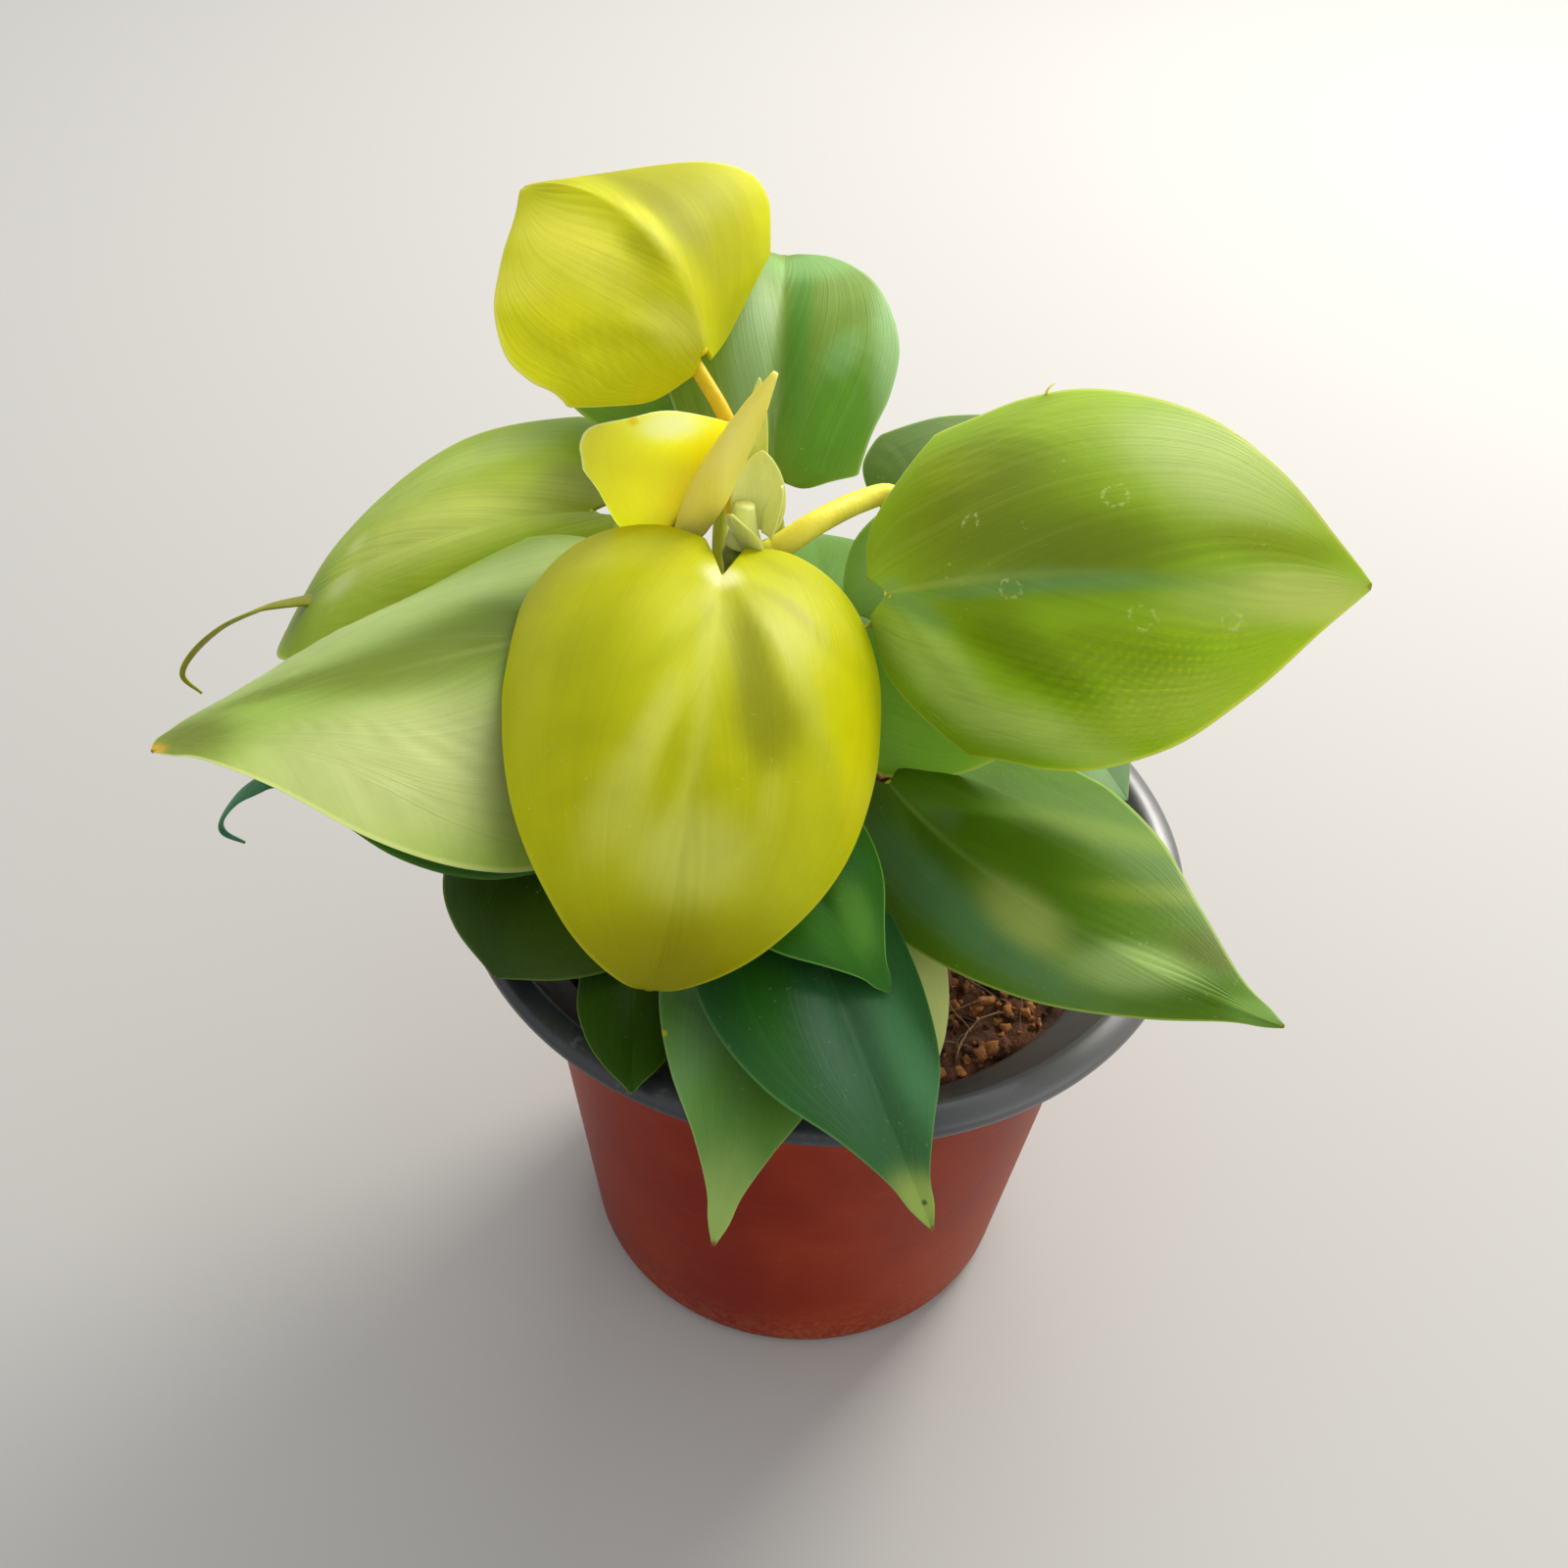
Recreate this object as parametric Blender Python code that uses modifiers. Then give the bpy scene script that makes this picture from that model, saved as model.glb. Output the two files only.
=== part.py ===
# Potted golden heartleaf philodendron in a thin two-colour nursery pot.
# Lengths below are in millimetres and angles in degrees. Meshes are made in metres.
# The origin is the middle of the pot's underside, +Z up, and the viewer stands at -Y.
import math

import bmesh
import bpy
import numpy as np
from mathutils import Vector

MM = 0.001
NAME = "potted_heartleaf_philodendron"

# Pot
RIM_RADIUS = 62.5
POT_HEIGHT = 94.0
BASE_RADIUS = 40.5
SHOULDER_RADIUS = 51.5
WALL = 1.2
FOOT = 3.0
FUNNEL_DROP = 8.0
DRAIN_HOLES = 8
DRAIN_RADIUS = 3.5
DRAIN_CIRCLE = 27.0
POT_SIDES = 48

# Soil
SOIL_TOP = 84.0
SOIL_RELIEF = 1.3
SOIL_SIDES = 32
SOIL_EDGE_DROP = 1.5
SOIL_RINGS = (0.0, 9.0, 17.0, 25.0, 32.0, 39.0, 45.0)
CLEARANCE = 0.3

# Leaves and stems
BLADE_THICKNESS = 0.8
PETIOLE_RADIUS = 1.3
PETIOLE_TAPER = (1.15, 0.85)
PETIOLE_GAP = 0.45
SHOULDER = 1.8
NECK = 3.5
STEM_SWELL = 1.18
TAIL_RADII = (1.1, 0.4)
ROLLED_RADII = (2.2, 2.9, 3.3, 3.5, 3.4, 3.2, 2.7, 1.9, 0.5)

# The share of a rib where its tip starts to hook, how its rows crowd towards the
# petiole, how they sweep back to the edge, and how finely its bend is followed.
HOOK_START = 0.72
ROW_CROWDING = 1.7
ROW_SWEEP = 1.15
RIB_STEPS = 200

# Distances within which neighbouring corners become one, on tubes and after joining.
TUBE_WELD = 0.02
JOIN_WELD = 0.004

# Half outline of a heart leaf from the inner edge of its lobe round to the tip.
# The first number is a share of the half width. The second is a share of the length
# ahead of the petiole, or of the lobe's length where it is negative.
HEART_OUTLINE = [
    (0.10, -0.80),
    (0.34, -1.00),
    (0.68, -0.86),
    (0.92, -0.30),
    (1.00, 0.16),
    (0.95, 0.36),
    (0.76, 0.60),
    (0.46, 0.80),
    (0.17, 0.93),
    (0.06, 0.98),
    (0.012, 1.0),
]

# The same for a leaf with a rounder base, with a slimmer tip, and with a tip drawn out
# into a narrow point.
ROUND_OUTLINE = [
    (0.08, -0.70),
    (0.34, -1.00),
    (0.64, -0.50),
    (0.86, 0.04),
    (0.98, 0.24),
    (0.98, 0.44),
    (0.80, 0.66),
    (0.50, 0.82),
    (0.20, 0.93),
    (0.07, 0.98),
    (0.012, 1.0),
]
SLIM_OUTLINE = [
    (0.10, -0.80),
    (0.34, -1.00),
    (0.68, -0.86),
    (0.92, -0.30),
    (1.00, 0.16),
    (0.96, 0.36),
    (0.77, 0.59),
    (0.44, 0.78),
    (0.155, 0.91),
    (0.07, 0.97),
    (0.012, 1.0),
]
DRAWN_OUTLINE = [
    (0.10, -0.80),
    (0.34, -1.00),
    (0.68, -0.86),
    (0.92, -0.30),
    (1.00, 0.12),
    (0.96, 0.32),
    (0.76, 0.52),
    (0.42, 0.70),
    (0.19, 0.84),
    (0.11, 0.93),
    (0.012, 1.0),
]

# Stems: points that the centre line runs through, and the radius at its foot.
STEMS = {
    "stem_main": {"radius": 3.0, "path": [(-9, 15, 66), (-9, 15, 95), (-13, 13, 122), (-17, 11.5, 147)]},
    "stem_front": {"radius": 2.6, "path": [(-13, -14, 66), (-13, -14, 88), (-12, -14, 106)]},
    "stem_right": {"radius": 2.6, "path": [(14, 6, 66), (14, 6, 88), (14, 5, 103)]},
    "stem_left": {"radius": 2.6, "path": [(-28, 8, 66), (-28, 8, 90), (-30, 8, 110)]},
}

# Every leaf: where the blade meets its petiole, the way it points (heading from +X,
# pitch above level, roll about its rib), its size, and how it bends. droop and hook
# bend the rib down and side bends it sideways. curl bends the halves down, fold lifts
# them from the rib, twist turns them, skew makes the right half wider, and belly moves
# the widest place towards the tip. tail is a long curling tip, rolled a rolled half.
# The petiole leaves its stem at a height, in the direction toward, and passes via.
LEAF_DEFAULTS = {
    "outline": HEART_OUTLINE, "roll": 0, "lobe": 8, "lobe_drop": 10, "droop": 30, "hook": 0,
    "curl": 30, "side": 0, "fold": 0, "skew": 0, "twist": 0, "belly": 0, "arrive": 60,
    "petiole": PETIOLE_RADIUS, "columns": 8, "rows": 9,
}
LEAVES = {}


def leaf(name, **values):
    LEAVES[name] = {**LEAF_DEFAULTS, **values}


leaf("leaf_front_heart", base=(-19, -4, 152), heading=-88, pitch=6, roll=11, length=73, width=69,
     lobe=14, droop=82, hook=36, curl=76, side=-7, fold=13, belly=0.04, columns=10, rows=12,
     stem="stem_main", height=128, toward=-80, via=[(-16, 1, 140)], arrive=75,
     colour=(0.46, 0.50, 0.02))
leaf("leaf_right_large", base=(6.5, 5, 145), outline=ROUND_OUTLINE, heading=-25, pitch=33, roll=-58,
     length=75, width=78, lobe=7, droop=43, curl=40, side=17, fold=-17, twist=-3, belly=-0.03,
     columns=10, rows=12,
     stem="stem_main", height=143, toward=48,
     via=[(-6, 18.5, 147.5), (1, 25.5, 148.5), (6.3, 28, 148.5), (10.5, 22, 146), (11.5, 13, 143.5)],
     arrive=100, petiole=1.8, colour=(0.25, 0.42, 0.05))
leaf("leaf_top_yellow", base=(-25.5, 28, 172.5), outline=ROUND_OUTLINE, heading=159, pitch=84, roll=8,
     length=45.6, width=72.4, lobe=6, droop=117, curl=-7, side=-9.4, fold=-19, skew=0.13, twist=-3.2,
     belly=0.02, columns=10, rows=12,
     stem="stem_main", height=145, toward=100, via=[(-20.5, 21, 153), (-20.8, 22.8, 162)], arrive=40,
     colour=(0.50, 0.47, 0.04))
leaf("leaf_back_grey", base=(-14, 32, 148.4), outline=ROUND_OUTLINE, heading=91, pitch=60, roll=-2.7,
     length=51.4, width=40, lobe=2.5, droop=80, curl=23, side=1, fold=17,
     stem="stem_main", height=112, toward=95, via=[(-11, 24, 132)], arrive=40,
     colour=(0.12, 0.28, 0.08))
leaf("leaf_back_left", base=(-24, 55, 153), heading=142, pitch=10, roll=12, length=54, width=46, lobe=9,
     droop=30, curl=30, fold=5,
     stem="stem_main", height=104, toward=130, via=[(-22, 30, 128)], arrive=50,
     colour=(0.10, 0.22, 0.02))
leaf("leaf_left_upper", base=(-45, 31.4, 137), heading=192, pitch=-2.5, roll=13, length=74, width=49.4,
     lobe=6, droop=66, curl=39, curl_left=47, side=23.7, fold=7, skew=0.26, belly=0.22, columns=10,
     rows=12,
     tail=[(-103, 33, 110), (-107, 34, 107.5), (-114, 34, 103), (-120.3, 34, 96.4),
           (-123, 33.5, 91), (-120, 33.5, 87)],
     stem="stem_main", height=134, toward=150, via=[(-29, 18, 139)], arrive=50,
     colour=(0.26, 0.40, 0.04))
leaf("leaf_left_front", base=(-36.5, -5, 141), outline=DRAWN_OUTLINE, heading=210, pitch=8, roll=19,
     length=71, width=72, lobe=11, droop=8, curl=54, side=-12, fold=-1, twist=-41, belly=0.18,
     columns=10, rows=12,
     stem="stem_main", height=118, toward=215, via=[(-26, 2, 130)], colour=(0.34, 0.48, 0.12))
leaf("leaf_right_lower", base=(10, 0, 109), outline=SLIM_OUTLINE, heading=-63.5, pitch=9, roll=-18.5,
     length=80.5, width=50, lobe=5, droop=22, curl=21, side=-41, fold=-14, skew=-0.3, twist=-18.5,
     belly=-0.03, columns=10, rows=12,
     stem="stem_right", height=92, toward=-100, via=[(12, 0, 101)], arrive=70,
     colour=(0.12, 0.25, 0.02))
leaf("leaf_front_dark", base=(-2.3, -32, 109.5), outline=DRAWN_OUTLINE, heading=-70.5, pitch=4.3,
     roll=6.6, length=56, width=36.5, lobe=4, droop=27, curl=44.6, side=-12, fold=12, skew=0.13,
     twist=2.7, belly=0.04,
     stem="stem_front", height=92, toward=-60, via=[(-8, -25, 98)], arrive=70,
     colour=(0.03, 0.14, 0.06))
leaf("leaf_front_small", base=(-10, -34, 98.2), outline=DRAWN_OUTLINE, heading=-85, pitch=14.5, roll=14,
     length=48.6, width=29, lobe=4, droop=55.3, curl=20.8, side=-0.6, fold=10, columns=6, rows=8,
     stem="stem_front", height=87, toward=-100, via=[(-15, -26, 94)], arrive=70,
     colour=(0.12, 0.28, 0.12))
leaf("leaf_front_middle", base=(-11.5, -22.4, 122), outline=DRAWN_OUTLINE, heading=-57.4, pitch=-2.4,
     roll=-5.5, length=36.7, width=29.3, lobe=5, droop=37.3, curl=35.9, side=-18.6, fold=9, belly=0.07,
     columns=6, rows=8,
     stem="stem_front", height=104, toward=-30, via=[(-10, -17, 114)], arrive=70,
     colour=(0.06, 0.26, 0.02))
leaf("leaf_left_dark", base=(-37, -11.5, 108), heading=-113, pitch=-1, length=33.6, width=44.5, lobe=6,
     droop=36, curl=31, side=3, fold=5, belly=0.12,
     stem="stem_left", height=96, toward=-110, via=[(-35, -5, 103)], colour=(0.03, 0.08, 0.01))
leaf("leaf_left_far", base=(-47, -2, 121.5), outline=DRAWN_OUTLINE, heading=199, pitch=1, roll=19,
     length=53, width=45, lobe=5, droop=30, hook=60, curl=28, side=5, fold=6, skew=-0.26,
     tail=[(-90.5, -18, 114.3), (-95.1, -18, 110.4), (-98.5, -18, 105.2), (-98.6, -18, 102.1),
           (-95.4, -18, 100.2)],
     stem="stem_left", height=106, toward=200, via=[(-38, 5, 117)], colour=(0.04, 0.14, 0.03))
leaf("leaf_front_left", base=(-28, -38, 98), heading=-84, pitch=0, length=22, width=18, lobe=3, droop=8,
     curl=30, fold=10, columns=6, rows=8,
     stem="stem_front", height=92, toward=-140, via=[(-23, -28, 95)], colour=(0.05, 0.12, 0.01))
leaf("leaf_back_right", base=(12, 44, 134), heading=22, pitch=12, roll=-20, length=46, width=40, lobe=7,
     droop=30, curl=30, fold=8,
     stem="stem_main", height=98, toward=60, via=[(-1, 30, 118)], colour=(0.07, 0.20, 0.04))
leaf("leaf_under_right", base=(6, 19, 128), heading=-14, pitch=16, roll=-50, length=40, width=46,
     lobe=7, droop=22, curl=30, fold=4,
     stem="stem_main", height=112, toward=10, via=[(-2, 15, 120)], colour=(0.22, 0.42, 0.06))
leaf("leaf_right_pale", base=(13, -19, 97), heading=-73, pitch=-12, length=27, width=13, lobe=3,
     droop=14, curl=30, fold=8, columns=6, rows=8,
     stem="stem_right", height=89.5, toward=-40, via=[(16.5, -8, 95)], colour=(0.34, 0.40, 0.12))
leaf("leaf_rim_right", base=(26, 33.3, 111.7), heading=-36, pitch=-6, roll=-12, length=37, width=28, lobe=6,
     droop=46, curl=20, fold=14,
     stem="stem_right", height=98, toward=60, via=[(20, 20, 106)], colour=(0.18, 0.30, 0.10))
leaf("leaf_back_low", base=(-4, 38, 112), heading=95, pitch=4, length=46, width=38, lobe=7, droop=36,
     curl=30, fold=8,
     stem="stem_main", height=90, toward=80, via=[(-6, 28, 104)], colour=(0.06, 0.18, 0.02))

# The newest leaf: its left half lies open and the rest is still rolled into a tube.
leaf("leaf_young", base=(-26.8, 14.4, 149.4), heading=15, pitch=61.6, roll=-78, length=19, width=20,
     lobe=4.5, droop=8, curl=-12, curl_right=4, skew=-0.8, belly=0.14, left_columns=5, right_columns=1,
     rows=9,
     rolled=[(-26.5, 13.5, 146.5), (-23.4, 13, 154.5), (-20, 12.6, 163), (-13.3, 14, 177.3)],
     stem="stem_main", height=139, toward=190, via=[(-25, 12, 142)], arrive=30,
     colour=(0.80, 0.60, 0.06))

# The growing point: its core, and its pale sheaths, each with the place where it starts,
# its size, the way it leans and how far it wraps round the core.
TIP_CORE = [(-17, 11.5, 147.9), (-17, 11.6, 150.5), (-17, 12, 154.5)]
SHEATHS = [
    {"foot": (-16, 14.3, 149.4), "length": 23, "width": 5, "heading": 92, "pitch": 56, "wrap": 60},
    {"foot": (-15, 13, 149.4), "length": 12.5, "width": 9.5, "heading": 90, "pitch": 60, "wrap": 40},
    {"foot": (-14.3, 11.4, 149.4), "length": 9, "width": 5, "heading": 10, "pitch": 72, "wrap": 50},
    {"foot": (-17.4, 9.8, 149.4), "length": 8.5, "width": 6.5, "heading": -120, "pitch": 72, "wrap": 70},
]


def clear_scene():
    for item in list(bpy.data.objects):
        bpy.data.objects.remove(item, do_unlink=True)


def make_collections():
    parts = bpy.data.collections.new(NAME)
    cutters = bpy.data.collections.new("cutters")
    cutters.hide_render = True
    for group in (parts, cutters):
        bpy.context.scene.collection.children.link(group)
    return parts, cutters


def make_material(name, colour, roughness):
    material = bpy.data.materials.new(name)
    material.use_nodes = True
    shader = material.node_tree.nodes["Principled BSDF"]
    shader.inputs["Base Color"].default_value = (*colour, 1.0)
    shader.inputs["Roughness"].default_value = roughness
    shader.inputs["Metallic"].default_value = 0.0
    material.diffuse_color = (*colour, 1.0)
    return material


def add_object(name, mesh, group, material=None):
    item = bpy.data.objects.new(name, mesh)
    group.objects.link(item)
    if material:
        mesh.materials.clear()
        mesh.materials.append(material)
    return item


def evaluated_mesh(item):
    graph = bpy.context.evaluated_depsgraph_get()
    graph.update()
    return bpy.data.meshes.new_from_object(item.evaluated_get(graph))


def catmull(points, where):
    """Points on the smooth curve through the given ones, where from 0 to 1."""
    knots = np.array(points, float)
    before = 2 * knots[0] - knots[1]
    after = 2 * knots[-1] - knots[-2]
    knots = np.vstack([before, knots, after])
    spans = len(points) - 1
    place = np.asarray(where, float) * spans
    index = np.minimum(place.astype(int), spans - 1)
    t = (place - index)[..., None]
    p0, p1, p2, p3 = (knots[index + step] for step in range(4))
    return 0.5 * (
        2 * p1 + (p2 - p0) * t + (2 * p0 - 5 * p1 + 4 * p2 - p3) * t**2 + (3 * p1 - p0 - 3 * p2 + p3) * t**3
    )


def rib_curve(spec):
    """Centre line of a blade: distances from the petiole, and offsets and angles there."""
    steps = np.linspace(-1.3 * spec["lobe"], 1.02 * spec["length"], RIB_STEPS)
    along = np.clip(steps / spec["length"], 0, 1)
    back = np.clip(-steps / spec["lobe"], 0, 1.3)
    bend = -math.radians(spec["droop"]) * along
    bend -= math.radians(spec["hook"]) * np.clip((along - HOOK_START) / (1 - HOOK_START), 0, 1) ** 1.5
    bend += math.radians(spec["lobe_drop"]) * back
    sway = math.radians(spec["side"]) * along
    stride = steps[1] - steps[0]
    bend_mid = (bend[1:] + bend[:-1]) / 2
    sway_mid = (sway[1:] + sway[:-1]) / 2
    ahead = np.concatenate([[0], np.cumsum(np.cos(bend_mid) * np.cos(sway_mid) * stride)])
    across = np.concatenate([[0], np.cumsum(np.cos(bend_mid) * np.sin(sway_mid) * stride)])
    up = np.concatenate([[0], np.cumsum(np.sin(bend_mid) * stride)])
    offsets = [line - np.interp(0, steps, line) for line in (across, ahead, up)]
    return steps, offsets, bend, sway


def leaf_axes(spec):
    """The blade's right, forward and upper directions at its petiole."""
    heading, pitch, roll = (math.radians(spec[key]) for key in ("heading", "pitch", "roll"))
    level = math.cos(pitch)
    forward = np.array([math.cos(heading) * level, math.sin(heading) * level, math.sin(pitch)])
    right = np.array([math.sin(heading), -math.cos(heading), 0.0])
    normal = np.cross(right, forward)
    turned = right * math.cos(roll) + normal * math.sin(roll)
    upper = -right * math.sin(roll) + normal * math.cos(roll)
    return turned, forward, upper


def blade_points(spec, across, along):
    """Places in millimetres on a blade. across runs -1 to 1 and along 0 to 1."""
    outline = catmull(spec["outline"], along)
    share = outline[..., 1]
    share = np.where(share > 0, share + spec["belly"] * 4 * share * (1 - share), share)
    edge = np.where(share < 0, share * spec["lobe"], share * spec["length"])
    rib = spec["length"] * along**ROW_CROWDING
    side = np.sign(across)
    reach = np.abs(across)
    half = spec["width"] / 2 * (1 + spec["skew"] * side)
    x = outline[..., 0] * half * reach
    y = rib + (edge - rib) * reach**ROW_SWEEP

    steps, offsets, bend, sway = rib_curve(spec)
    rib_x, rib_y, rib_z = (np.interp(y, steps, line) for line in offsets)
    bend_here = np.interp(y, steps, bend)
    sway_here = np.interp(y, steps, sway)

    curl = np.where(side > 0, spec.get("curl_right", spec["curl"]), spec.get("curl_left", spec["curl"]))
    start = math.radians(spec["fold"])
    rate = np.radians(curl) / half
    end = start - rate * x
    local_x = side * (np.sin(start) - np.sin(end)) / rate
    local_z = (np.cos(end) - np.cos(start)) / rate
    turn = math.radians(spec["twist"]) * np.clip(y / spec["length"], 0, 1)
    flat_x = local_x * np.cos(turn) - local_z * np.sin(turn)
    flat_z = local_x * np.sin(turn) + local_z * np.cos(turn)

    place_x = rib_x + flat_x * np.cos(sway_here)
    place_y = rib_y - flat_z * np.sin(bend_here) - flat_x * np.sin(sway_here)
    place_z = rib_z + flat_z * np.cos(bend_here)
    right, forward, upper = leaf_axes(spec)
    base = np.array(spec["base"], float)
    return base + place_x[..., None] * right + place_y[..., None] * forward + place_z[..., None] * upper


def stem_swell(share):
    """How much thicker a stem is where leaves grow: at its foot, middle and top."""
    return 1 + (STEM_SWELL - 1) * (0.5 + 0.5 * np.cos(4 * math.pi * share))


def stem_at(name, height):
    """Centre of a stem at a height, and its radius there."""
    shares = np.linspace(0, 1, RIB_STEPS)
    line = catmull(STEMS[name]["path"], shares)
    share = np.interp(height, line[:, 2], shares)
    return catmull(STEMS[name]["path"], share), STEMS[name]["radius"] * stem_swell(share)


def petiole_line(spec, count):
    """Centre line from beside the stem to the blade."""
    toward = math.radians(spec["toward"])
    outward = np.array([math.cos(toward), math.sin(toward), 0.0])
    centre, radius = stem_at(spec["stem"], spec["height"])
    start = centre + outward * (radius + PETIOLE_GAP)
    shoulder = start + outward * SHOULDER
    arrive = math.radians(spec["arrive"])
    _, forward, upper = leaf_axes(spec)
    base = np.array(spec["base"], float)
    neck = base - (forward * math.cos(arrive) + upper * math.sin(arrive)) * NECK
    stops = [shoulder, *spec["via"], neck, base]
    return np.vstack([start, catmull(stops, np.linspace(0, 1, count))])


def add_tube(name, line, radii, resolution, group):
    """Closed round tube along a line, as a welded mesh object."""
    curve = bpy.data.curves.new(name + "_line", "CURVE")
    curve.dimensions = "3D"
    curve.bevel_depth = MM
    curve.bevel_resolution = resolution
    curve.use_fill_caps = True
    spline = curve.splines.new("POLY")
    spline.points.add(len(line) - 1)
    for point, place, radius in zip(spline.points, line, radii):
        point.co = (*(place * MM), 1.0)
        point.radius = radius
    guide = bpy.data.objects.new(name + "_line", curve)
    group.objects.link(guide)
    mesh = evaluated_mesh(guide)
    bpy.data.objects.remove(guide, do_unlink=True)
    weld(mesh, TUBE_WELD)
    return add_object(name, mesh, group)


def weld(mesh, distance):
    work = bmesh.new()
    work.from_mesh(mesh)
    bmesh.ops.remove_doubles(work, verts=work.verts, dist=distance * MM)
    bmesh.ops.dissolve_degenerate(work, edges=work.edges, dist=distance * MM)
    bmesh.ops.recalc_face_normals(work, faces=work.faces)
    work.to_mesh(mesh)
    work.free()


def split_into_triangles(mesh):
    work = bmesh.new()
    work.from_mesh(mesh)
    bmesh.ops.triangulate(work, faces=work.faces)
    work.to_mesh(mesh)
    work.free()


def join(name, pieces, group, material):
    """One solid from a collection of overlapping ones."""
    first, rest = pieces[0], pieces[1:]
    others = bpy.data.collections.new(name + "_pieces")
    bpy.context.scene.collection.children.link(others)
    for piece in rest:
        others.objects.link(piece)
    union = first.modifiers.new("join", "BOOLEAN")
    union.operation = "UNION"
    union.operand_type = "COLLECTION"
    union.collection = others
    union.solver = "EXACT"
    mesh = evaluated_mesh(first)
    for piece in pieces:
        bpy.data.objects.remove(piece, do_unlink=True)
    bpy.data.collections.remove(others)
    weld(mesh, JOIN_WELD)
    return add_object(name, mesh, group, material)


def add_sheet(name, points, group):
    """Closed thin blade over a net of points whose last row narrows to one tip."""
    rows, columns = points.shape[:2]
    bpy.ops.mesh.primitive_grid_add(x_subdivisions=columns - 1, y_subdivisions=rows - 1, size=2)
    sheet = bpy.context.object
    sheet.name = name
    for old in list(sheet.users_collection):
        old.objects.unlink(sheet)
    group.objects.link(sheet)
    work = bmesh.new()
    work.from_mesh(sheet.data)
    work.verts.ensure_lookup_table()
    order = sorted(work.verts, key=lambda v: (round(v.co.y, 5), round(v.co.x, 5)))
    for vert, place in zip(order, points.reshape(-1, 3)):
        vert.co = Vector(place * MM)
    tip = order[-columns:]
    bmesh.ops.pointmerge(work, verts=tip, merge_co=tip[columns // 2].co.copy())
    bmesh.ops.triangulate(work, faces=work.faces)
    work.to_mesh(sheet.data)
    work.free()
    solid = sheet.modifiers.new("thickness", "SOLIDIFY")
    solid.thickness = BLADE_THICKNESS * MM
    solid.offset = 0.0
    mesh = evaluated_mesh(sheet)
    bpy.data.objects.remove(sheet, do_unlink=True)
    return add_object(name, mesh, group)


def build_leaf(name, spec, parts, cutters):
    half = spec["columns"] // 2
    left = np.linspace(-1, 0, spec.get("left_columns", half) + 1)[:-1]
    right = np.linspace(0, 1, spec.get("right_columns", half) + 1)
    across = np.concatenate([left, right])
    along = np.linspace(0, 1, spec["rows"] + 1)
    rows, columns = np.meshgrid(along, across, indexing="ij")
    blade = add_sheet(name + "_blade", blade_points(spec, columns, rows), cutters)
    line = petiole_line(spec, 8)
    radii = spec["petiole"] * np.linspace(*PETIOLE_TAPER, len(line))
    petiole = add_tube(name + "_petiole", line, radii, 1, cutters)
    pieces = [blade, petiole]
    if "tail" in spec:
        root = blade_points(spec, np.array(0.0), np.array(0.9))
        line = catmull([root, *spec["tail"]], np.linspace(0, 1, 10))
        radii = np.linspace(*TAIL_RADII, len(line))
        pieces.append(add_tube(name + "_tail", line, radii, 1, cutters))
    if "rolled" in spec:
        line = catmull(spec["rolled"], np.linspace(0, 1, len(ROLLED_RADII)))
        pieces.append(add_tube(name + "_roll", line, ROLLED_RADII, 2, cutters))
    material = make_material(name + "_green", spec["colour"], 0.4)
    return join(name, pieces, parts, material)


def build_stem(name, spec, parts, material):
    shares = np.linspace(0, 1, 9)
    line = catmull(spec["path"], shares)
    stem = add_tube(name, line, spec["radius"] * stem_swell(shares), 2, parts)
    stem.data.materials.append(material)
    return stem


def sheath_points(spec, across, along):
    """Narrow pointed scale, its edges bent round the shoot."""
    right, forward, upper = leaf_axes({"roll": 0, **spec})
    width = np.sin(math.pi * (0.22 + 0.78 * along)) ** 0.7
    wrap = math.radians(spec["wrap"])
    radius = spec["width"] / 2 / wrap
    angle = wrap * across * width
    x = radius * np.sin(angle)
    y = spec["length"] * along
    z = radius * (1 - np.cos(angle)) + 0.08 * spec["length"] * along**2
    base = np.array(spec["foot"], float)
    return base + x[..., None] * right + y[..., None] * forward + z[..., None] * upper


def build_growing_tip(parts, cutters, material):
    core = catmull(TIP_CORE, np.linspace(0, 1, 5))
    pieces = [add_tube("tip_core", core, np.linspace(3.0, 1.6, 5), 2, cutters)]
    rows, columns = np.meshgrid(np.linspace(0, 0.995, 6), np.linspace(-1, 1, 5), indexing="ij")
    for number, spec in enumerate(SHEATHS):
        pieces.append(add_sheet(f"sheath_{number}", sheath_points(spec, columns, rows), cutters))
    return join("growing_tip", pieces, parts, material)


def turned(name, profile, sides, group):
    """Solid of revolution whose outline runs down the outside and back up the middle."""
    mesh = bpy.data.meshes.new(name)
    work = bmesh.new()
    verts = [work.verts.new((radius * MM, 0.0, height * MM)) for radius, height in profile]
    for start, end in zip(verts[:-1], verts[1:]):
        work.edges.new((start, end))
    work.to_mesh(mesh)
    work.free()
    item = add_object(name, mesh, group)
    screw = item.modifiers.new("turn", "SCREW")
    screw.steps = sides
    screw.render_steps = sides
    screw.use_merge_vertices = True
    screw.merge_threshold = 0.00001
    return item


def cylinder(name, radius, bottom, top, x, y, group):
    bpy.ops.mesh.primitive_cylinder_add(
        vertices=12, radius=radius * MM, depth=(top - bottom) * MM,
        location=(x * MM, y * MM, (top + bottom) / 2 * MM))
    item = bpy.context.object
    item.name = name
    for old in list(item.users_collection):
        old.objects.unlink(item)
    group.objects.link(item)
    item.hide_render = True
    item.display_type = "WIRE"
    return item


def cut(item, cutter):
    drill = item.modifiers.new(cutter.name, "BOOLEAN")
    drill.operation = "DIFFERENCE"
    drill.object = cutter
    drill.solver = "EXACT"


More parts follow.
